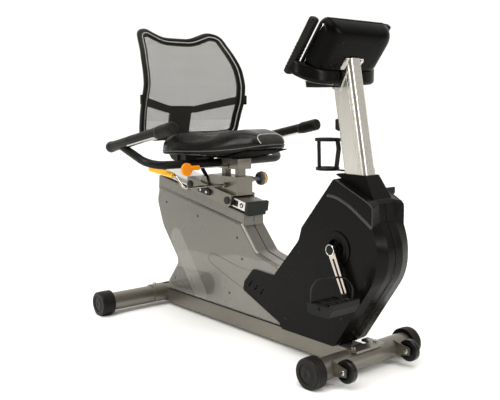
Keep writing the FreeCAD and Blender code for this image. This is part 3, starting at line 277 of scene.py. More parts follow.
PAINT = (0.185, 0.171, 0.141)
finishes = {
    "frame_paint": metal_paint("champagne_paint", PAINT),
    "foot_rubber": moulded("foot_plastic", (0.011, 0.0105, 0.0095), 0.36),
    "bolt_steel": bright_metal("zinc_plate", (0.62, 0.61, 0.58), 0.2),
    "black_steel": moulded("black_powder_coat", (0.0075, 0.0072, 0.0065), 0.34, 900, 0.3, 0.0, 0.16),
    "wheel_rubber": moulded("wheel_plastic", (0.006, 0.006, 0.006), 0.2, coat=0.3),
    "rail_aluminium": brushed("drawn_rail", (0.72, 0.71, 0.68), "X"),
    "charcoal_plastic": moulded("charcoal_plastic", (0.019, 0.022, 0.02), 0.46, 900, 0.4),
    # The second grey is the painted reflection of the floor on the casing's lower part.
    "silver_casing": casing_paint("silver_casing_paint", (0.122, 0.116, 0.098),
                                  (0.165, 0.16, 0.138), (0.27, 0.262, 0.234), (0.1, 0.1, 0.087)),
    "black_casing": moulded("black_casing_plastic", (0.0028, 0.0026, 0.0021), 0.25, 800, 0.1, 0.0, 0.09),
    "polished_steel": bright_metal("polished_steel", (0.5, 0.45, 0.4), 0.14),
    "pulley_aluminium": brushed("turned_pulley", (0.5, 0.5, 0.5), "Y"),
    "cast_iron": metal_paint("flywheel_grey", (0.12, 0.12, 0.13), 0.45, 0.6),
    "belt_rubber": rubber("belt_rubber", (0.018, 0.018, 0.018)),
    "mast_aluminium": brushed("anodised_mast", (0.64, 0.62, 0.57), "Z", 0.3, 0.1),
    "bezel_plastic": moulded("bezel_plastic", (0.02, 0.021, 0.023), 0.4),
    "display_glass": moulded("display_window", (0.05, 0.075, 0.06), 0.08, 60, 0.0, 1.0),
    "key_plastic": moulded("key_plastic", (0.4, 0.4, 0.38), 0.35),
    "cage_plastic": moulded("cage_plastic", (0.008, 0.008, 0.0076), 0.33),
    "pedal_plastic": moulded("pedal_plastic", (0.007, 0.007, 0.0066), 0.4, 400, 0.5),
    "strap_rubber": rubber("strap_rubber", (0.009, 0.009, 0.0085), 0.5),
    "roller_plastic": moulded("roller_nylon", (0.06, 0.06, 0.06), 0.4),
    "black_vinyl": vinyl("seat_vinyl", (0.0042, 0.004, 0.0035), 0.27),
    "grip_rubber": rubber("grip_rubber", (0.0042, 0.0039, 0.0034), 0.36),
    "back_frame_plastic": moulded("back_frame_plastic", (0.0048, 0.0047, 0.0045), 0.3, 700, 0.2),
    "back_mesh": moulded("back_mesh", (0.2, 0.2, 0.18), 0.7),
    "yellow_plastic": moulded("yellow_dip", (0.93, 0.42, 0.004), 0.35, 300, 0.1, 0.3),
    "orange_plastic": moulded("orange_moulding", (0.93, 0.27, 0.003), 0.33, 300, 0.1, 0.3),
    "knob_rubber": rubber("knob_rubber", (0.12, 0.12, 0.13), 0.6),
}
finishes.update({
    "piping": vinyl("piping_cord", (0.34, 0.34, 0.32), 0.5),
    "console_black": moulded("console_plastic", (0.0016, 0.0015, 0.0012), 0.26, 800, 0.1, 0.0, 0.045),
    "pan_coating": moulded("pan_coating", (0.006, 0.0058, 0.0052), 0.85, 900, 0.3, 0.0, 0.02),
    "dark_piping": vinyl("dark_piping_cord", (0.07, 0.07, 0.065), 0.3),
    "black_fabric": rubber("edge_binding", (0.014, 0.014, 0.013), 0.7, 1200),
    "nose_vinyl": moulded("nose_panel", (0.018, 0.0172, 0.015), 0.5, 420, 0.6),
    "net": mesh_cloth(),
    "chrome_trim": bright_metal("trim_plating", (0.8, 0.79, 0.77), 0.16),
    "casing_highlight": moulded("casing_bead", (0.03, 0.03, 0.027), 0.28, 700, 0.1, 0.3),
    # Painted shade: near-black cords laid in gaps, seams, grooves and recesses where shade falls; the console
    # screws use this finish too.
    "gap_shadow": rubber("gap_shadow_strip", (0.008, 0.008, 0.008), 0.8),
    "screen_dark": moulded("screen_cells", (0.012, 0.02, 0.014), 0.2, 80, 0.0, 0.6),
    "yellow_ring": moulded("knob_ring", (0.9, 0.52, 0.01), 0.35, 300, 0.1, 0.2),
})
for part in frame["record"]["subparts"]:
    shown = nodes[part["node"]]
    shown.data.materials.clear()
    shown.data.materials.append(finishes[part["material_slot"]])
nodes["seat_pan"].data.materials[0] = finishes["pan_coating"]


# ---------------------------------------------------------------- building blocks


SIDES = ((-1, "right"), (1, "left"))
ACROSS = Vector((0, 1, 0))
BOX_FACES = [(0, 1, 2, 3), (4, 5, 6, 7), (0, 1, 5, 4), (1, 2, 6, 5), (2, 3, 7, 6), (3, 0, 4, 7)]


def piece(name, verts, faces, finish, body, smooth=True):
    mesh = bpy.data.meshes.new(name)
    mesh.from_pydata([tuple(v) for v in verts], [], faces)
    mesh.materials.append(finishes[finish])
    build = bmesh.new()
    build.from_mesh(mesh)
    bmesh.ops.remove_doubles(build, verts=build.verts, dist=1e-6)
    bmesh.ops.recalc_face_normals(build, faces=build.faces)
    build.to_mesh(mesh)
    build.free()
    if smooth:
        mesh.polygons.foreach_set("use_smooth", [True] * len(mesh.polygons))
    made = bpy.data.objects.new(name, mesh)
    bpy.context.scene.collection.objects.link(made)
    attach(made, body)
    return made


def sweep(name, rings, finish, body, closed=False, creased=None):
    """Skin over a row of closed rings of points. closed: the row runs back to its start."""
    count = len(rings[0])
    verts = [p for ring in rings for p in ring]
    faces = []
    rows = len(rings) if closed else len(rings) - 1
    for i in range(rows):
        a, b = i * count, ((i + 1) % len(rings)) * count
        for j in range(count):
            k = (j + 1) % count
            faces.append((a + j, a + k, b + k, b + j))
    if not closed:
        faces.append(tuple(range(count))[::-1])
        faces.append(tuple(range(len(verts) - count, len(verts))))
    made = piece(name, verts, faces, finish, body)
    if creased:
        soften(made, creased)
    return made


def soften(made, angle=40):
    """Smooth shading that keeps the edges sharper than the angle."""
    made.data.set_sharp_from_angle(angle=math.radians(angle))


def frames_along(points, up=Vector((0, 0, 1)), closed=False):
    """(place, side, top, along) at each point of a line."""
    rows = []
    last = len(points) - 1
    for i, p in enumerate(points):
        before = points[i - 1] if closed or i else p
        after = points[(i + 1) % len(points)] if closed or i < last else p
        along = (after - before).normalized()
        side = up.cross(along)
        side = side.normalized() if side.length > 1e-6 else Vector((1, 0, 0))
        rows.append((p, side, along.cross(side), along))
    return rows


BEAD_SIDES = 10


def around(count):
    """Evenly spaced angles round a full turn."""
    return [2 * math.pi * k / count for k in range(count)]


def bead(name, points, radius, finish, body, up=Vector((0, 0, 1)), closed=False, flat=1.0):
    """Round or flattened cord of the given radius along a line."""
    rings = []
    for p, side, top, _ in frames_along(points, up, closed):
        rings.append([p + side * radius * math.cos(a) + top * radius * flat * math.sin(a)
                      for a in around(BEAD_SIDES)])
    return sweep(name, rings, finish, body, closed=closed)


def lathe(name, start, along, profile, finish, body, sides=36, creased=45):
    """Turned piece: profile is (distance along, radius) in millimetres."""
    along = along.normalized()
    side = along.orthogonal().normalized()
    top = along.cross(side)
    rings = []
    for distance, radius in profile:
        middle = start + along * distance / 1000
        rings.append([middle + (side * math.cos(a) + top * math.sin(a)) * radius / 1000
                      for a in around(sides)])
    return sweep(name, rings, finish, body, creased=creased)


def smooth_line(points, steps):
    """Points of a soft curve through the given ones."""
    out = []
    last = len(points) - 1
    for i in range(last):
        p0, p1, p2, p3 = [points[min(max(i + k, 0), last)] for k in (-1, 0, 1, 2)]
        for s in range(steps):
            t = s / steps
            out.append(0.5 * (2 * p1 + (p2 - p0) * t + (2 * p0 - 5 * p1 + 4 * p2 - p3) * t * t
                              + (3 * p1 - p0 - 3 * p2 + p3) * t ** 3))
    out.append(points[-1].copy())
    return out


def rounded_outline(corners, spacing):
    """Evenly spaced (a, b) points round a polygon of (a, b, corner radius), all in millimetres."""
    line = []
    n = len(corners)
    for i, (a, b, radius) in enumerate(corners):
        here = Vector((a, b))
        back = (Vector(corners[i - 1][:2]) - here).normalized()
        on = (Vector(corners[(i + 1) % n][:2]) - here).normalized()
        half = back.angle(on) / 2
        reach = radius / math.tan(half)
        middle = (back + on)
        if middle.length < 1e-6 or radius <= 0:
            line.append(here)
            continue
        centre = here + middle.normalized() * radius / math.sin(half)
        start, end = here + back * reach - centre, here + on * reach - centre
        for k in range(13):
            mixed = start.lerp(end, k / 12)
            line.append(centre + mixed.normalized() * radius)
    lengths = [0]
    for i in range(len(line)):
        lengths.append(lengths[-1] + (line[(i + 1) % len(line)] - line[i]).length)
    count = max(8, int(lengths[-1] / spacing))
    out, at = [], 0
    for k in range(count):
        want = lengths[-1] * k / count
        while lengths[at + 1] < want:
            at += 1
        span = max(lengths[at + 1] - lengths[at], 1e-9)
        out.append(line[at].lerp(line[(at + 1) % len(line)], (want - lengths[at]) / span))
    return out


def inward(outline, distance):
    """An outline moved inwards by a distance."""
    area = sum(p.x * outline[i - 1].y - outline[i - 1].x * p.y for i, p in enumerate(outline))
    turn = 1 if area < 0 else -1
    moved = []
    for i, p in enumerate(outline):
        along = (outline[(i + 1) % len(outline)] - outline[i - 1]).normalized()
        moved.append(p + Vector((-along.y, along.x)) * turn * distance)
    return moved


# ---------------------------------------------------------------- seat back

BACK_CORNERS = [(70, 1176, 150), (160, 1209, 60), (212, 1196, 45), (250, 1060, 300), (262, 900, 300),
                (250, 752, 50), (150, 742, 100)]
BACK_HEIGHTS = (730, 790, 850, 913, 975, 1040, 1110, 1170, 1215)
BACK_DEPTHS = (-523, -518, -506, -487, -474, -487, -519, -558, -582)


NET_CENTRE_Z = 965
NET_ROWS = 26
LUG_Y = 264
LUG_Z = 913


def back_depth(y, z):
    """How far forward the back's middle surface lies, in millimetres."""
    for i in range(8):
        if z <= BACK_HEIGHTS[i + 1] or i == 7:
            t = (z - BACK_HEIGHTS[i]) / (BACK_HEIGHTS[i + 1] - BACK_HEIGHTS[i])
            a, b = BACK_DEPTHS[i], BACK_DEPTHS[i + 1]
            before = BACK_DEPTHS[max(i - 1, 0)]
            after = BACK_DEPTHS[min(i + 2, 8)]
            curve = 0.5 * (2 * a + (b - before) * t + (2 * before - 5 * a + 4 * b - after) * t * t
                           + (3 * a - before - 3 * b + after) * t ** 3)
            return 0.4 * (a + t * (b - a)) + 0.6 * curve + 0.0011 * y * y


def seat_back():
    corners = BACK_CORNERS + [(-y, z, r) for y, z, r in BACK_CORNERS[::-1]]
    outline = rounded_outline(corners, 9)

    def ring_at(inset, forward):
        return [mm(back_depth(p.x, p.y) + forward, p.x, p.y) for p in inward(outline, inset)]

    section = [(2, -12), (0.3, -7), (0, 0), (0.6, 6), (3, 10), (7, 12), (12, 12.3), (16, 10.5), (18.5, 7.5),
               (21, 8.5), (26, 7.2), (31, 4), (32, 1.5), (31, -1), (27, -8), (21, -12), (12, -14), (6, -14)]
    rings = [ring_at(*at) for at in section]
    frame_piece = sweep("seat_back_moulding", rings, "back_frame_plastic", "seat_back",
                        closed=True)
    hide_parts("seat_back_frame")
    for side, word in SIDES:
        y = side * LUG_Y
        lug = [mm(back_depth(y, LUG_Z) + a, y + b, LUG_Z + c) for c in (-20, 20)
               for a, b in ((-9, -6), (9, -6), (9, 6), (-9, 6))]
        block = piece("seat_back_lug_%s" % word, lug, BOX_FACES, "back_frame_plastic", "seat_back",
                      False)
        round_off(block, 0.003)
    bead("seat_back_piping", ring_at(18.3, 9.2), 0.0024, "piping", "seat_back",
         up=Vector((1, 0, 0)), closed=True)
    bead("seat_back_inner_welt", ring_at(32.5, 3.8), 0.0026, "black_fabric", "seat_back",
         up=Vector((1, 0, 0)), closed=True)
    count = len(outline)
    verts, faces = [], []
    edge = [Vector((p.x, p.y)) for p in inward(outline, 29)]
    for i in range(NET_ROWS):
        share = 1 - i / NET_ROWS
        for p in edge:
            y, z = p.x * share, NET_CENTRE_Z + (p.y - NET_CENTRE_Z) * share
            verts.append(mm(back_depth(y, z) + 0.6 * share, y, z))
    for i in range(NET_ROWS - 1):
        for j in range(count):
            k = (j + 1) % count
            faces.append((i * count + j, i * count + k, (i + 1) * count + k, (i + 1) * count + j))
    verts.append(mm(back_depth(0, NET_CENTRE_Z), 0, NET_CENTRE_Z))
    for j in range(count):
        faces.append(((NET_ROWS - 1) * count + j, (NET_ROWS - 1) * count + (j + 1) % count, len(verts) - 1))
    net = piece("seat_back_net", verts, faces, "net", "seat_back")
    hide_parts("seat_back_mesh")


def round_off(made, width):
    """Rounds a piece's edges for good."""
    build = bmesh.new()
    build.from_mesh(made.data)
    bmesh.ops.bevel(build, geom=list(build.edges), offset=width, segments=3, affect="EDGES",
                    profile=0.5, clamp_overlap=True)
    build.to_mesh(made.data)
    build.free()
    made.data.polygons.foreach_set("use_smooth", [True] * len(made.data.polygons))
    soften(made, 50)


# ---------------------------------------------------------------- seat cushion

CUSHION_X = (-416, -404, -380, -330, -270, -210, -150, -95, -45, 0, 40, 68, 82, 89)
CUSHION_HALF = (120, 172, 196, 211, 212, 205, 186, 160, 132, 106, 84, 66, 54, 40)
CUSHION_TOP = (750, 766, 777, 781, 777, 769, 772, 785, 795, 796, 789, 777, 767, 758)
CUSHION_LOW = (706, 699, 696, 695, 695, 695, 695, 697, 705, 716, 727, 733, 736, 738)
CUSHION_EDGE = (706, 701, 700, 701, 704, 706, 708, 711, 716, 722, 729, 734, 736, 738)


CUSHION_ROWS = 56
# Exponents of the cross-section: below 1 they square off its side and its crown.
SIDE_SQUARENESS = 0.52
CROWN_SQUARENESS = 0.42
DISH_DEPTH = 9


def between(table_x, table, x):
    for i in range(len(table_x) - 1):
        if x <= table_x[i + 1]:
            t = (x - table_x[i]) / (table_x[i + 1] - table_x[i])
            before = table[max(i - 1, 0)]
            after = table[min(i + 2, len(table) - 1)]
            a, b = table[i], table[i + 1]
            soft = 0.5 * (2 * a + (b - before) * t + (2 * before - 5 * a + 4 * b - after) * t * t
                          + (3 * a - before - 3 * b + after) * t ** 3)
            return 0.5 * (a + (b - a) * t) + 0.5 * soft
    return table[-1]


def along_cushion(table, x):
    """A table's value at x, kept at its end values past the cushion's ends."""
    return between(CUSHION_X, table, min(max(x, CUSHION_X[0]), CUSHION_X[-1]))


def cushion_rings(shrink):
    rings = []
    for i in range(CUSHION_ROWS + 1):
        x = CUSHION_X[0] + (CUSHION_X[-1] - CUSHION_X[0]) * i / CUSHION_ROWS
        half = between(CUSHION_X, CUSHION_HALF, x) - shrink
        top = between(CUSHION_X, CUSHION_TOP, x) - shrink
        base = between(CUSHION_X, CUSHION_LOW, x) + 1
        low = between(CUSHION_X, CUSHION_EDGE, x) + 1
        height = top - low
        ring = []
        for k in range(25):
            a = math.pi * k / 24
            across = math.copysign(abs(math.cos(a)) ** SIDE_SQUARENESS, math.cos(a)) * half
            up = math.sin(a) ** CROWN_SQUARENESS
            dish = -DISH_DEPTH * math.exp(-(across / (0.34 * half + 1)) ** 2)
            dish *= min(1, max(0, (-20 - x) / 120))
            ring.append(mm(x, across, low + 9 + (height - 9) * up + dish * up))
        ring += [mm(x, -half + 3, low + 3), mm(x, -half * 0.7, base), mm(x, 0, base), mm(x, half * 0.7, base),
                 mm(x, half - 3, low + 3)]
        rings.append(ring)
    return rings


PRESSURE = 4.0
LARGEST_PUFF = 0.009
SEAM_BAND = 9
SEAM_FADE = 14
LAST_FRAME = 20


def inflate(made):
    """Cloth simulation that puffs the cover up, held at its lower seam."""
    held = made.vertex_groups.new(name="seam")
    start = [v.co.copy() for v in made.data.vertices]
    for v in made.data.vertices:
        above = v.co.z * 1000 - along_cushion(CUSHION_EDGE, (v.co.x - SHIFT) * 1000)
        held.add([v.index], min(1.0, max(0.0, 1 - (above - SEAM_BAND) / SEAM_FADE)), "REPLACE")
    cloth = made.modifiers.new("Cloth", "CLOTH")
    settings = cloth.settings
    settings.quality = 6
    settings.tension_stiffness = 18
    settings.compression_stiffness = 18
    settings.bending_stiffness = 0.6
    settings.vertex_group_mass = "seam"
    settings.use_pressure = True
    settings.uniform_pressure_force = PRESSURE
    settings.effector_weights.gravity = 0
    cloth.point_cache.frame_start = 1
    cloth.point_cache.frame_end = LAST_FRAME
    for number in range(1, LAST_FRAME + 1):
        bpy.context.scene.frame_set(number)
    done = made.evaluated_get(bpy.context.evaluated_depsgraph_get()).data
    moved = [v.co.copy() for v in done.vertices]
    made.modifiers.remove(cloth)
    made.vertex_groups.clear()
    bpy.context.scene.frame_set(1)
    for v, old, new in zip(made.data.vertices, start, moved):
        step = new - old
        if step.length > LARGEST_PUFF:
            step *= LARGEST_PUFF / step.length
        v.co = old + step


def apply_modifier(made, kind, **values):
    modifier = made.modifiers.new(kind, kind)
    for key, value in values.items():
        setattr(modifier, key, value)
    mesh = bpy.data.meshes.new_from_object(made.evaluated_get(bpy.context.evaluated_depsgraph_get()))
    made.modifiers.clear()
    made.data = mesh


NOSE_LOW_Z = 738
NOSE_HEIGHT = 54
NOSE_SEAM_LOW_X = 84
NOSE_SEAM_LEAN = 46


def nose_seam_x(z):
    """Where the nose panel starts at height z (metres), in millimetres: further back higher up."""
    share = min(max((z * 1000 - NOSE_LOW_Z) / NOSE_HEIGHT, 0), 1)
    return NOSE_SEAM_LOW_X - NOSE_SEAM_LEAN * share


def nose_seam(cover):
    """Line over the cushion, from its lower right edge to its lower left one, just proud of its skin."""
    points = []
    for k in range(41):
        a = math.pi * (0.06 + 0.88 * k / 40)
        aim = Vector((0, -math.cos(a), math.sin(a)))
        x = nose_seam_x((NOSE_LOW_Z + NOSE_HEIGHT * math.sin(a)) / 1000)
        for _ in range(3):
            start = mm(x, 0, 745) + Vector((0, aim.y * 0.022, 0)) + aim * 0.2
            hit, place, normal, _ = cover.ray_cast(start, -aim)
            if hit:
                x = nose_seam_x(place.z)
        if hit:
            points.append(place + normal * 0.0008)
    return points


SMOOTHINGS = 7


def seat_cushion():
    cover = sweep("seat_cushion_cover", cushion_rings(3), "black_vinyl", "carriage")
    apply_modifier(cover, "REMESH", mode="VOXEL", voxel_size=0.0055)
    inflate(cover)
    build = bmesh.new()
    build.from_mesh(cover.data)
    for _ in range(SMOOTHINGS):
        bmesh.ops.smooth_vert(build, verts=build.verts, factor=0.5, use_axis_x=True, use_axis_y=True,
                              use_axis_z=True)
    for v in build.verts:
        x = (v.co.x - SHIFT) * 1000
        v.co.z = max(v.co.z, (along_cushion(CUSHION_LOW, x) + 0.8) / 1000)
        v.co.x = min(max(v.co.x, SHIFT - 0.4185), SHIFT + 0.0905)
        v.co.y = min(max(v.co.y, -0.2135), 0.2135)
    build.to_mesh(cover.data)
    build.free()
    cover.data.polygons.foreach_set("use_smooth", [True] * len(cover.data.polygons))
    apply_modifier(cover, "SUBSURF", levels=1, render_levels=1)
    cover.data.materials.append(finishes["nose_vinyl"])
    for face in cover.data.polygons:
        if (face.center.x - SHIFT) * 1000 > nose_seam_x(face.center.z):
            face.material_index = 1
    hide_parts("seat_cushion")
    bead("seat_nose_seam", nose_seam(cover), 0.0022, "piping", "carriage")
    rim = cushion_rim(0)
    bead("seat_cushion_piping", [p + Vector((0, 0, 0.009)) for p in cushion_rim(1)], 0.0026,
         "dark_piping", "carriage", closed=True)
    section = [(-1, 0.6), (0, 4.6), (-5, 6), (-14, 1.5), (-10, -3.4), (-3, -2.6)]
    rings = []
    for p, side, _, _ in frames_along(rim, closed=True):
        ring = [p - side * a / 1000 + Vector((0, 0, b / 1000)) for a, b in section]
        rings.append([Vector((min(q.x, SHIFT + 0.0915), q.y, q.z)) for q in ring])
    sweep("seat_base_lip", rings, "back_frame_plastic", "carriage", closed=True)


def cushion_rim(inset):
    """Closed line round the cushion's lower edge, anticlockwise from above."""
    plan = list(zip(CUSHION_X, CUSHION_HALF))
    corners = [(x, -half, 0) for x, half in plan] + [(x, half, 0) for x, half in plan[::-1]]
    outline = rounded_outline(corners, 12)
    soft = [(outline[i - 2] + outline[i - 1] + outline[i] + outline[(i + 1) % len(outline)]
             + outline[(i + 2) % len(outline)]) / 5 for i in range(len(outline))]
    return [mm(p.x, p.y, along_cushion(CUSHION_EDGE, p.x)) for p in inward(soft, 0.5 + inset)]


# ---------------------------------------------------------------- console and handlebars

CONSOLE_CENTRE = (425, 0, 1089)
CONSOLE_TILT = math.radians(36.4)
CONSOLE_DEPTH = 62
CONSOLE_HALF_W = 154
CONSOLE_HALF_H = 92
CONSOLE_RIGHT = Vector((0, -1, 0))
CONSOLE_UP = Vector((math.sin(CONSOLE_TILT), 0, math.cos(CONSOLE_TILT)))
CONSOLE_OUT = Vector((-CONSOLE_UP.z, 0, CONSOLE_UP.x))
CONSOLE_SIDES = ((-1, "left"), (1, "right"))
GRIP_ACROSS = 174


def on_console(a, b, c):
    """Place on the console in its own frame: a to the rider's right, b up the face, c out of it."""
    return mm(*CONSOLE_CENTRE) + (CONSOLE_RIGHT * a + CONSOLE_UP * b + CONSOLE_OUT * c) / 1000


def round_rect(half_w, half_h, radius, centre=(0, 0)):
    corners = [(-half_w, -half_h), (half_w, -half_h), (half_w, half_h), (-half_w, half_h)]
    return rounded_outline([(a + centre[0], b + centre[1], radius) for a, b in corners], 4)


def console_pad(name, half_w, half_h, radius, centre, low, high, finish, body, crown=1.0):
    """Low key or window: a rounded block with a softly crowned top, standing on the console's face."""
    base = round_rect(half_w, half_h, radius, centre)
    rings = []
    for inset, height in ((0, low), (0, high - 1.4), (0.5, high - 0.5), (1.4, high), (4, high + 0.3 * crown)):
        rings.append([on_console(p.x, p.y, height) for p in inward(base, inset)])
    middle = [on_console(centre[0] + (p.x - centre[0]) * 0.3, centre[1] + (p.y - centre[1]) * 0.3,
                         high + 0.6 * crown) for p in base]
    rings.append(middle)
    return sweep(name, rings, finish, body, creased=45)


def console_details():
    display_frame = round_rect(86, 38, 8, (0, 40))
    line = [on_console(p.x, p.y, 10.4) for p in display_frame]
    bead("display_surround", line, 0.0022, "bezel_plastic", "root",
         up=CONSOLE_OUT, closed=True, flat=0.7)
    for i in range(16):
        a = -70 + i * 9.4
        rise = 8 + 22 * (0.5 - 0.5 * math.cos(i * 0.8))
        for step in range(int(rise / 4)):
            console_pad("display_bar_%02d_%d" % (i, step), 3.2, 1.4, 0.6, (a, 15 + step * 4), 8.4, 8.9,
                        "screen_dark", "root", 0.2)
    for k, (a, b) in enumerate(((-18, -40), (2, -40), (-112, 50), (-112, 24), (-112, -2), (112, 50),
                                (112, 24), (112, -2), (-112, -34), (112, -34))):
        console_pad("console_key_%d" % k, 8.5, 6, 4, (a, b), 9, 12, "key_plastic", "root")
    for side, word in CONSOLE_SIDES:
        trim = [on_console(side * 150.5, b, c) for b, c in ((-74, -8), (-40, -6.5), (0, -6), (40, -6.5),
                                                           (74, -8))]
        bead("console_trim_%s" % word, smooth_line(trim, 6), 0.0032, "chrome_trim", "root",
             up=CONSOLE_OUT, flat=1.3)
    seam = [on_console(p.x, p.y, -0.2) for p in round_rect(154.2, 92.2, 26)]
    bead("console_seam", seam, 0.0011, "gap_shadow", "root", up=CONSOLE_OUT, closed=True)
    for side, word in CONSOLE_SIDES:
        for b in (-36, 44):
            place = on_console(side * 92, b, -CONSOLE_DEPTH + 0.2)
            lathe("console_screw_%s_%s" % (word, "low" if b < 0 else "high"), place, -CONSOLE_OUT,
                  [(0, 5.2), (0.9, 5.2), (1.2, 4.6), (0.7, 2.6), (-0.4, 2.2), (-0.6, 0.02)],
                  "gap_shadow", "root", 24)


def console_back():
    """The console's rounded back: a soft shoulder from the rim to the flat rear."""
    section = ((12, -14), (6, -13), (4, -1), (1, 0), (0, -1.2), (0.4, -7), (1.6, -16), (3.6, -26),
               (7, -36), (11.5, -45), (17.5, -52.5), (26, -58), (37, -61), (50, -62))
    rings = []
    for inset, depth in section:
        half_w, half_h = CONSOLE_HALF_W - inset, CONSOLE_HALF_H - inset * 0.86
        corners = [(-half_w, -half_h), (half_w, -half_h), (half_w, half_h), (-half_w, half_h)]
        outline = rounded_outline([(a, b, 26 + inset * 0.35) for a, b in corners], 9)
        rings.append([on_console(p.x, p.y, depth) for p in resampled(outline, 96)])
    back = sweep("console_back", rings, "console_black", "root", creased=50)
    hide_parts("console_shell")


def resampled(outline, count):
    """The same closed outline with an exact number of evenly spaced points."""
    return [outline[int(len(outline) * k / count)] for k in range(count)]


def rounded_bar(name, centres, half_w, half_h, radius, finish, body, sides_of):
    """Bar with a rounded-rectangle section through the given places; its ends are domed."""
    rings = []
    last = len(centres) - 1
    outline = rounded_outline([(a, b, radius) for a, b in ((-half_w, -half_h), (half_w, -half_h),
                                                           (half_w, half_h), (-half_w, half_h))], 3.5)
    for i, place in enumerate(centres):
        side, top = sides_of(i)
        rings.append([place + (side * p.x + top * p.y) / 1000 for p in outline])
    for end, inner in ((0, 1), (last, last - 1)):
        out = (centres[end] - centres[inner]).normalized()
        side, top = sides_of(end)
        domes = []
        for shrink, push in ((0.93, 3.0), (0.8, 5.2), (0.55, 6.6), (0.2, 7.2)):
            domes.append([centres[end] + out * push / 1000 + (side * p.x + top * p.y) * shrink / 1000
                          for p in outline])
        rings = domes[::-1] + rings if end == 0 else rings + domes
    return sweep(name, rings, finish, body, creased=60)


def console_handlebar():
    for side, word in CONSOLE_SIDES:
        places = [on_console(side * GRIP_ACROSS, -119 + k * 19.3, 16) for k in range(11)]
        grip = rounded_bar("console_grip_%s" % word, places, 16.5, 12, 9.5, "grip_rubber", "root",
                           lambda i: (CONSOLE_RIGHT, CONSOLE_OUT))
        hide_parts("console_handlebar")
        for k in range(8):
            loop = [on_console(side * GRIP_ACROSS + p.x, -104 + k * 12, 16 + p.y)
                    for p in round_rect(16.6, 12.1, 9.5)]
            bead("console_grip_rib_%s_%d" % (word, k), loop, 0.0012, "grip_rubber", "root",
                 up=CONSOLE_UP, closed=True)
        knots = [mm(362, -side * 176, 1021), mm(384, -side * 170, 1009), mm(408, -side * 154, 996),
                 mm(424, -side * 128, 987), mm(431, -side * 92, 984), mm(431, -side * 60, 984),
                 mm(430, -side * 41, 984)]
        line = smooth_line(knots, 5)
        turns = frames_along(line)
        band = rounded_bar("console_band_%s" % word, line, 11.5, 24, 9, "black_casing", "root",
                           lambda i: (turns[i][1], turns[i][2]))
        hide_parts("console_handlebar")
    for side, word in CONSOLE_SIDES:
        corners = [(352, 40), (352, 108), (366, 112), (430, 84), (432, 40)]
        top = [mm(x, -side * y, 971 - (x - 352) * 0.18) for x, y in corners]
        low = [mm(x, -side * (y - 3), 951) for x, y in corners]
        tray = piece("console_tray_%s" % word, top + low, [(0, 1, 2, 3, 4), (5, 6, 7, 8, 9)]
                     + [(k, (k + 1) % 5, 5 + (k + 1) % 5, 5 + k) for k in range(5)],
                     "black_casing", "root", False)
        round_off(tray, 0.004)
        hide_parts("console_handlebar")
        rim = [p + Vector((0, 0, 0.0004)) for p in top]
        bead("console_tray_rim_%s" % word, rim, 0.0013, "casing_highlight", "root")


GRIP_Y = 360
GRIP_ELBOW = (-500, 724.4)
GRIP_TIP = (-60, 811)


def handlebar_details():
    for side, word in SIDES:
        tip = mm(GRIP_TIP[0], side * GRIP_Y, GRIP_TIP[1])
        elbow = mm(GRIP_ELBOW[0], side * GRIP_Y, GRIP_ELBOW[1])
        back = (elbow - tip).normalized()
        profile = [(-8.6, 6), (-8.4, 12), (-6, 19), (0, 23.2)]
        for k in range(9):
            start = 2 + k * 9
            profile += [(start, 24.2), (start + 5.4, 24.2), (start + 6.4, 23.2), (start + 8, 23.2)]
        profile += [(84, 23.6), (88, 21.4), (94, 20.8)]
        lathe("grip_block_%s" % word, tip, back, profile, "grip_rubber", "carriage",
              32, creased=35)
        bulb = [(418, 20.6), (428, 21.6), (438, 22.6), (448, 22.4), (454, 19.5), (456.4, 12), (456.8, 0.02)]
        lathe("grip_bulb_%s" % word, tip, back, bulb, "grip_rubber", "carriage", 32)
        for k in range(18):
            place = tip + back * (0.104 + k * 0.011)
            flat = [(0, 20.6), (0.6, 21.2), (2.2, 21.2), (2.8, 20.6)]
            lathe("grip_rib_%s_%02d" % (word, k), place, back, flat, "grip_rubber", "carriage",
                  28)


# ---------------------------------------------------------------- casings

FRONT_FACE = 78
REAR_FACE = 57


def side_line(name, points, y, radius, finish, body, flat=0.5, steps=6):
    """Bead lying on a side face, through (x, z) points."""
    line = smooth_line([mm(x, y, z) for x, z in points], steps)
    return bead(name, line, radius, finish, body, up=ACROSS, flat=flat)


def casing_details():
    for side, word in SIDES:
        y = side * (FRONT_FACE + 0.1)
        ridge = [(462, 653), (500, 636), (544, 617), (591, 596), (614, 583), (623.5, 574), (625.5, 560),
                 (626, 509)]
        side_line("front_ridge_%s" % word, ridge, y, 0.0016, "casing_highlight", "root")
        arc = [(430, 596), (457, 595), (489, 587), (533, 568), (576, 541), (610, 519), (624, 508)]
        side_line("front_arc_%s" % word, arc, y, 0.0052, "casing_highlight", "root", 0.22)
        # Painted shade: a thin black bead standing in for the shade in the crease on the casing side.
        crease = [(225, 116), (242, 129), (295, 160), (348, 192), (400, 224), (459, 258)]
        side_line("front_crease_%s" % word, crease, y, 0.0012, "black_casing", "root", 0.5)
        start = mm(CRANK[0], side * (FRONT_FACE + 3.6), CRANK[2])
        hub = [(0, 35), (0, 58.5), (0.6, 59.5), (0.9, 57), (0.9, 50), (0.5, 44), (0.7, 40), (1.4, 37),
               (1.5, 35.5), (1.0, 34)]
        rings = []
        for distance, radius in hub:
            rings.append([start + Vector((radius * math.cos(a), side * distance, radius * math.sin(a))) / 1000
                          for a in around(72)])
        sweep("hub_ring_%s" % word, rings, "black_casing", "root", closed=True, creased=40)
        plug = [(-30, 33.6), (-30, 12), (-22, 24), (-18, 33.6)]
        dish = mm(CRANK[0], side * (FRONT_FACE + 1), CRANK[2])
        sweep("hub_dish_%s" % word,
              [[dish + Vector((r * math.cos(a), side * d, r * math.sin(a))) / 1000
                for a in around(48)] for d, r in plug],
              "gap_shadow", "root", closed=True)
        rear_casing_side(side, word)
    centre_seams()


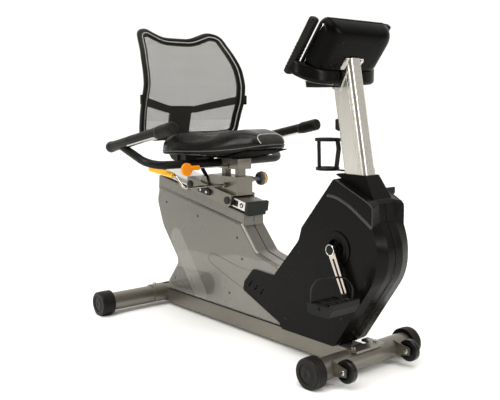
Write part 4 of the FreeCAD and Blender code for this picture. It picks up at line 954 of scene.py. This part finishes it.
def rear_casing_side(side, word):
    y = side * (REAR_FACE + 0.1)
    edge = [(-600, 500), (-560, 494), (-300, 449), (-60, 407)]
    side_line("rear_edge_line_%s" % word, edge, y - side * 6.6, 0.0013, "chrome_trim", "root")
    for k in range(8):
        top_x, top_z = -466 - 11 * k, 206 - 12.6 * k
        reach = (top_z - 110) / 0.78
        rib = [(top_x, top_z), (top_x + 0.313 * reach, top_z - 0.39 * reach), (top_x + 0.626 * reach, 110)]
        side_line("rear_rib_%s_%d" % (word, k), rib, y, 0.0013, "silver_casing", "root",
                  0.8, 3)
    scoops = ([(-258, 268), (-250, 284), (-224, 293), (-140, 279), (-48, 264), (-2, 263), (30, 270)],
              [(-258, 268), (-247, 255), (-202, 238), (-105, 205), (-53, 190), (-26, 186)])
    for k, line in enumerate(scoops):
        side_line("rear_scoop_%s_%d" % (word, k), line, y, 0.002, "silver_casing", "root",
                  0.7)
    # Painted shade: a dark cord along the gap where the casing meets the beam.
    seam = [(-556, 83.5), (-300, 83.5), (0, 83.5), (210, 84)]
    side_line("beam_gap_shadow_%s" % word, seam, y - side * 1.5, 0.0026, "gap_shadow", "root",
              0.5, 2)


def centre_seams():
    """The dark parting line between the right and left casings."""
    for name, line in (("rear_casing_seam_collar", [(-36, 476), (-36, 460), (-36, 444)]),
                       ("rear_casing_seam_front", [(-44, 439), (0, 390), (45, 340), (110, 322), (150, 312)])):
        bead(name, [mm(x + 0.3, 0, z + 0.3) for x, z in line], 0.0011, "gap_shadow", "root",
             up=ACROSS)
    front = [(309, 472), (300, 430), (296, 425), (150, 257), (150, 190), (212, 86)]
    nose = [(616, 585.6), (621.5, 575), (623.4, 524), (652, 480), (661.3, 440), (661.3, 380), (655, 350),
            (484, 96)]
    for name, line in (("front_casing_seam_rear", front), ("front_casing_seam_nose", nose)):
        points = [mm(x, 0, z) for x, z in line]
        dense = []
        for a, b in zip(points, points[1:]):
            dense += [a.lerp(b, k / 4) for k in range(4)]
        dense.append(points[-1])
        bead(name, dense, 0.0009, "gap_shadow", "root", up=ACROSS)
    back = [(-620, 539), (-629, 520), (-640, 470), (-622, 410), (-596, 360), (-478, 221)]
    bead("rear_casing_seam", [mm(x, 0, z) for x, z in back], 0.0009, "gap_shadow", "root",
         up=ACROSS)


# ---------------------------------------------------------------- drive, levers and frame

CRANK_TILT = math.radians(25.4)
CRANK_LENGTH = 0.175
CRANK_FACE = 0.107
PEDAL_MIDDLE = 0.1745


def drive_details():
    axle = mm(*CRANK)
    for side, word in SIDES:
        down = Vector((math.sin(CRANK_TILT), 0, -math.cos(CRANK_TILT))) * -side
        out = Vector((0, side, 0))
        face = side * CRANK_FACE
        boss = axle + out * 0.109
        lathe("crank_cap_%s" % word, boss, out, [(0, 15.6), (1.4, 15.6), (2.2, 14.2), (2.6, 9), (2.8, 0.02)],
              "pedal_plastic", "crank", 32)
        lathe("crank_cap_ring_%s" % word, boss, out, [(0, 18.6), (1.6, 18.6), (2.2, 17.8), (2.2, 16.4),
                                                     (1.4, 15.8), (0, 15.8)],
              "chrome_trim", "crank", 40)
        groove = [axle + down * s + Vector((0, face + side * 0.0002, 0)) for s in
                  (0.030, 0.055, 0.080, 0.105, 0.130, 0.148)]
        bead("crank_groove_%s" % word, groove, 0.0042, "gap_shadow", "crank",
             up=ACROSS, flat=0.12)
        eye = axle + down * CRANK_LENGTH
        lathe("pedal_bolt_%s" % word, eye + out * 0.237, out, [(0, 6.5), (0.6, 7.2), (2, 7.2), (3, 6),
                                                              (3.2, 4), (2.2, 3.4), (1.4, 0.02)],
              "pedal_plastic", "%s_pedal" % word, 28)
        for k in range(6):
            y = side * (PEDAL_MIDDLE + (-52 + 21 * k) / 1000)
            tread = [eye + Vector((x / 1000, 0, 0.0124)) + Vector((0, y - eye.y, 0)) for x in
                     (-46, -30, -10, 10, 30, 44)]
            bead("pedal_tread_%s_%d" % (word, k), tread, 0.0016, "strap_rubber",
                 "%s_pedal" % word, flat=0.9)


def ring_cord(name, centre, axis, radius, thickness, finish, body, flat=1.0):
    axis = axis.normalized()
    side = axis.orthogonal().normalized()
    top = axis.cross(side)
    points = [centre + (side * math.cos(a) + top * math.sin(a)) * radius
              for a in around(48)]
    return bead(name, points, thickness, finish, body, up=axis, closed=True, flat=flat)


def mount_end():
    """Plate that closes the front of the square box under the seat."""
    corners = [mm(-94 + x, y, 663 + z) for x in (-1.5, 0.8) for y, z in
               ((-33, -19), (33, -19), (33, 19), (-33, 19))]
    plate = piece("seat_mount_end", corners, BOX_FACES, "frame_paint", "carriage", False)
    round_off(plate, 0.0006)


FEET = ((-628.5, 368, "rear"), (527, 261, "front"))
FOOT_Z = 50
WHEEL_X = 604
WHEEL_Z = 57
KNOB_X = -112
KNOB_Z = 599
KNOB_RADIUS = 0.0262
RAIL_SLOPE = math.radians(10.2)
BEAM_TOP = 79


def frame_details():
    for x, half, place in FEET:
        for side, word in SIDES:
            centre = mm(x, side * (half - 2.9), FOOT_Z)
            out = Vector((0, side, 0))
            profile = [(-0.4, 33.6), (0.3, 33.2), (0.8, 24), (1.6, 22), (1.8, 8), (0.8, 6.5), (0.6, 0.02)]
            lathe("foot_cap_dish_%s_%s" % (place, word), centre, out, profile, "foot_rubber",
                  "root", 40)
            for k in range(3):
                inner = mm(x, side * (half - 16 - 12 * k), FOOT_Z)
                points = [inner + Vector((math.cos(a), 0, math.sin(a))) * 0.05155
                          for a in [math.radians(-70 + 320 * s / 44) for s in range(45)]]
                bead("foot_cap_ridge_%s_%s_%d" % (place, word, k), points, 0.0009, "foot_rubber",
                     "root", up=out)
    for y, facing, word in ((-179, -1, "right"), (137, -1, "left"), (174, 1, "left_end")):
        out = Vector((0, facing, 0))
        lathe("wheel_bolt_%s" % word, mm(WHEEL_X, y, WHEEL_Z) + out * -0.0004, out,
              [(0, 8.8), (1.2, 8.8), (2.2, 7.2), (2.6, 4), (2.6, 0.02)], "bolt_steel", "root",
              28)
    ring_cord("knob_band", mm(KNOB_X, 105.5, KNOB_Z), ACROSS, KNOB_RADIUS, 0.0022, "yellow_ring", "knob",
              1.4)
    for k, a in enumerate(around(12)):
        spoke = Vector((math.cos(a), 0, math.sin(a))) * KNOB_RADIUS
        line = [mm(KNOB_X, y, KNOB_Z) + spoke for y in (95, 98, 101, 103)]
        bead("knob_ridge_%02d" % k, line, 0.0014, "knob_rubber", "knob")
    lathe("knob_face", mm(KNOB_X, 118, KNOB_Z), ACROSS,
          [(-0.4, 18.6), (0.5, 18.4), (0.9, 16), (0.2, 14), (0.4, 0.02)], "knob_rubber", "knob",
          32)
    along = Vector((math.cos(RAIL_SLOPE), 0, -math.sin(RAIL_SLOPE)))
    rise = Vector((math.sin(RAIL_SLOPE), 0, math.cos(RAIL_SLOPE)))
    origin = mm(-29, 0, 486)
    for side, word in SIDES:
        out = Vector((0, side, 0))
        for k, s in enumerate((-0.228, -0.268)):
            place = origin + along * s + rise * 0.018 + out * 0.0708
            lathe("block_bolt_%s_%d" % (word, k), place, out, [(0, 6.4), (2.2, 6.4), (3, 5.6), (3.1, 3.4),
                                                              (1.8, 3), (1.8, 0.02)],
                  "bolt_steel", "carriage", 24)
        place = origin + along * -0.026 + rise * 0.017 + out * 0.0502
        lathe("rail_bolt_ring_%s" % word, place, out, [(0, 9), (1.6, 9), (2.2, 8), (2, 5.6), (0.8, 5.2),
                                                      (0, 5.2)],
              "pedal_plastic", "root", 32)
        lathe("rail_bolt_%s" % word, place, out, [(0, 5), (1.4, 5), (2, 4.2), (2.2, 0.02)],
              "chrome_trim", "root", 24)
    for k, (x, _, place) in enumerate(FEET):
        at = x + 40 if place == "rear" else x - 40
        line = [mm(at, y, BEAM_TOP + 0.4) for y in range(-38, 39, 4)]
        bead("beam_weld_%d" % k, line, 0.0022, "frame_paint", "root")


# ---------------------------------------------------------------- stage

def stage_floor():
    half = 30.0
    corners = [(-half, -half, -0.0005), (half, -half, -0.0005), (half, half, -0.0005), (-half, half, -0.0005)]
    mesh = bpy.data.meshes.new("floor")
    mesh.from_pydata(corners, [], [(0, 1, 2, 3)])
    floor = bpy.data.objects.new("floor", mesh)
    bpy.context.scene.collection.objects.link(floor)
    g = Graph("floor_paint")
    tone = g.mix(g.ramp(g.noise(1.5, 2), 0.3, 0.7), (0.90, 0.90, 0.90), (0.93, 0.93, 0.93))
    mesh.materials.append(g.finish(tone, 0.75))


def area_light(name, place, target, size, power):
    light = bpy.data.lights.new(name, "AREA")
    light.shape = "RECTANGLE"
    light.size = size[0]
    light.size_y = size[1]
    light.energy = power
    light.color = WARM
    lamp = bpy.data.objects.new(name, light)
    bpy.context.scene.collection.objects.link(lamp)
    lamp.location = place
    lamp.rotation_euler = (Vector(target) - Vector(place)).to_track_quat("-Z", "Y").to_euler()


WARM = (1, 0.985, 0.945)
HEADING = math.radians(40.06)
CAMERA_DIP = math.radians(7.56)
CAMERA_PLACE = (2107.4, -1822.5, 900)
LENS = 52.63


def studio():
    """White room: bright beyond the bike, dimmer behind the viewer, one wide soft light overhead."""
    bpy.context.scene.view_settings.view_transform = "Standard"
    world = bpy.data.worlds.new("studio")
    bpy.context.scene.world = world
    world.use_nodes = True
    tree = world.node_tree
    place = tree.nodes.new("ShaderNodeTexCoord")
    facing = tree.nodes.new("ShaderNodeVectorMath")
    facing.operation = "DOT_PRODUCT"
    facing.inputs[1].default_value = (-math.cos(HEADING), math.sin(HEADING), 0)
    strength = tree.nodes.new("ShaderNodeMapRange")
    for key, value in (("From Min", -0.35), ("From Max", 0.6), ("To Min", 0.16), ("To Max", 1.06)):
        strength.inputs[key].default_value = value
    tree.links.new(place.outputs["Generated"], facing.inputs[0])
    tree.links.new(facing.outputs["Value"], strength.inputs["Value"])
    tree.links.new(strength.outputs[0], tree.nodes["Background"].inputs["Strength"])
    tree.nodes["Background"].inputs["Color"].default_value = (*WARM, 1)
    sun = bpy.data.lights.new("overhead", "SUN")
    sun.energy = 2.6
    sun.angle = math.radians(55)
    sun.color = WARM
    lamp = bpy.data.objects.new("overhead", sun)
    bpy.context.scene.collection.objects.link(lamp)
    lamp.rotation_euler = Vector((-0.15, 0.25, -1)).to_track_quat("-Z", "Y").to_euler()
    area_light("strip_left", (0.2, -3.0, 2.2), (0, 0, 0.5), (0.8, 2.4), 60)
    area_light("strip_front", (3.4, 0.9, 2.0), (0.2, 0, 0.6), (0.6, 2.2), 52)


def camera():
    data = bpy.data.cameras.new("photo_view")
    data.lens = LENS
    data.sensor_width = 36.0
    rig = bpy.data.objects.new("photo_view", data)
    bpy.context.scene.collection.objects.link(rig)
    rig.location = mm(*CAMERA_PLACE)
    level = math.cos(CAMERA_DIP)
    look = Vector((-math.cos(HEADING) * level, math.sin(HEADING) * level, -math.sin(CAMERA_DIP)))
    rig.rotation_euler = look.to_track_quat("-Z", "Y").to_euler()
    bpy.context.scene.camera = rig


camera()
stage_floor()
studio()
seat_back()
seat_cushion()
console_back()
console_handlebar()
console_details()
handlebar_details()
casing_details()
drive_details()
mount_end()
frame_details()


bpy.context.view_layer.update()
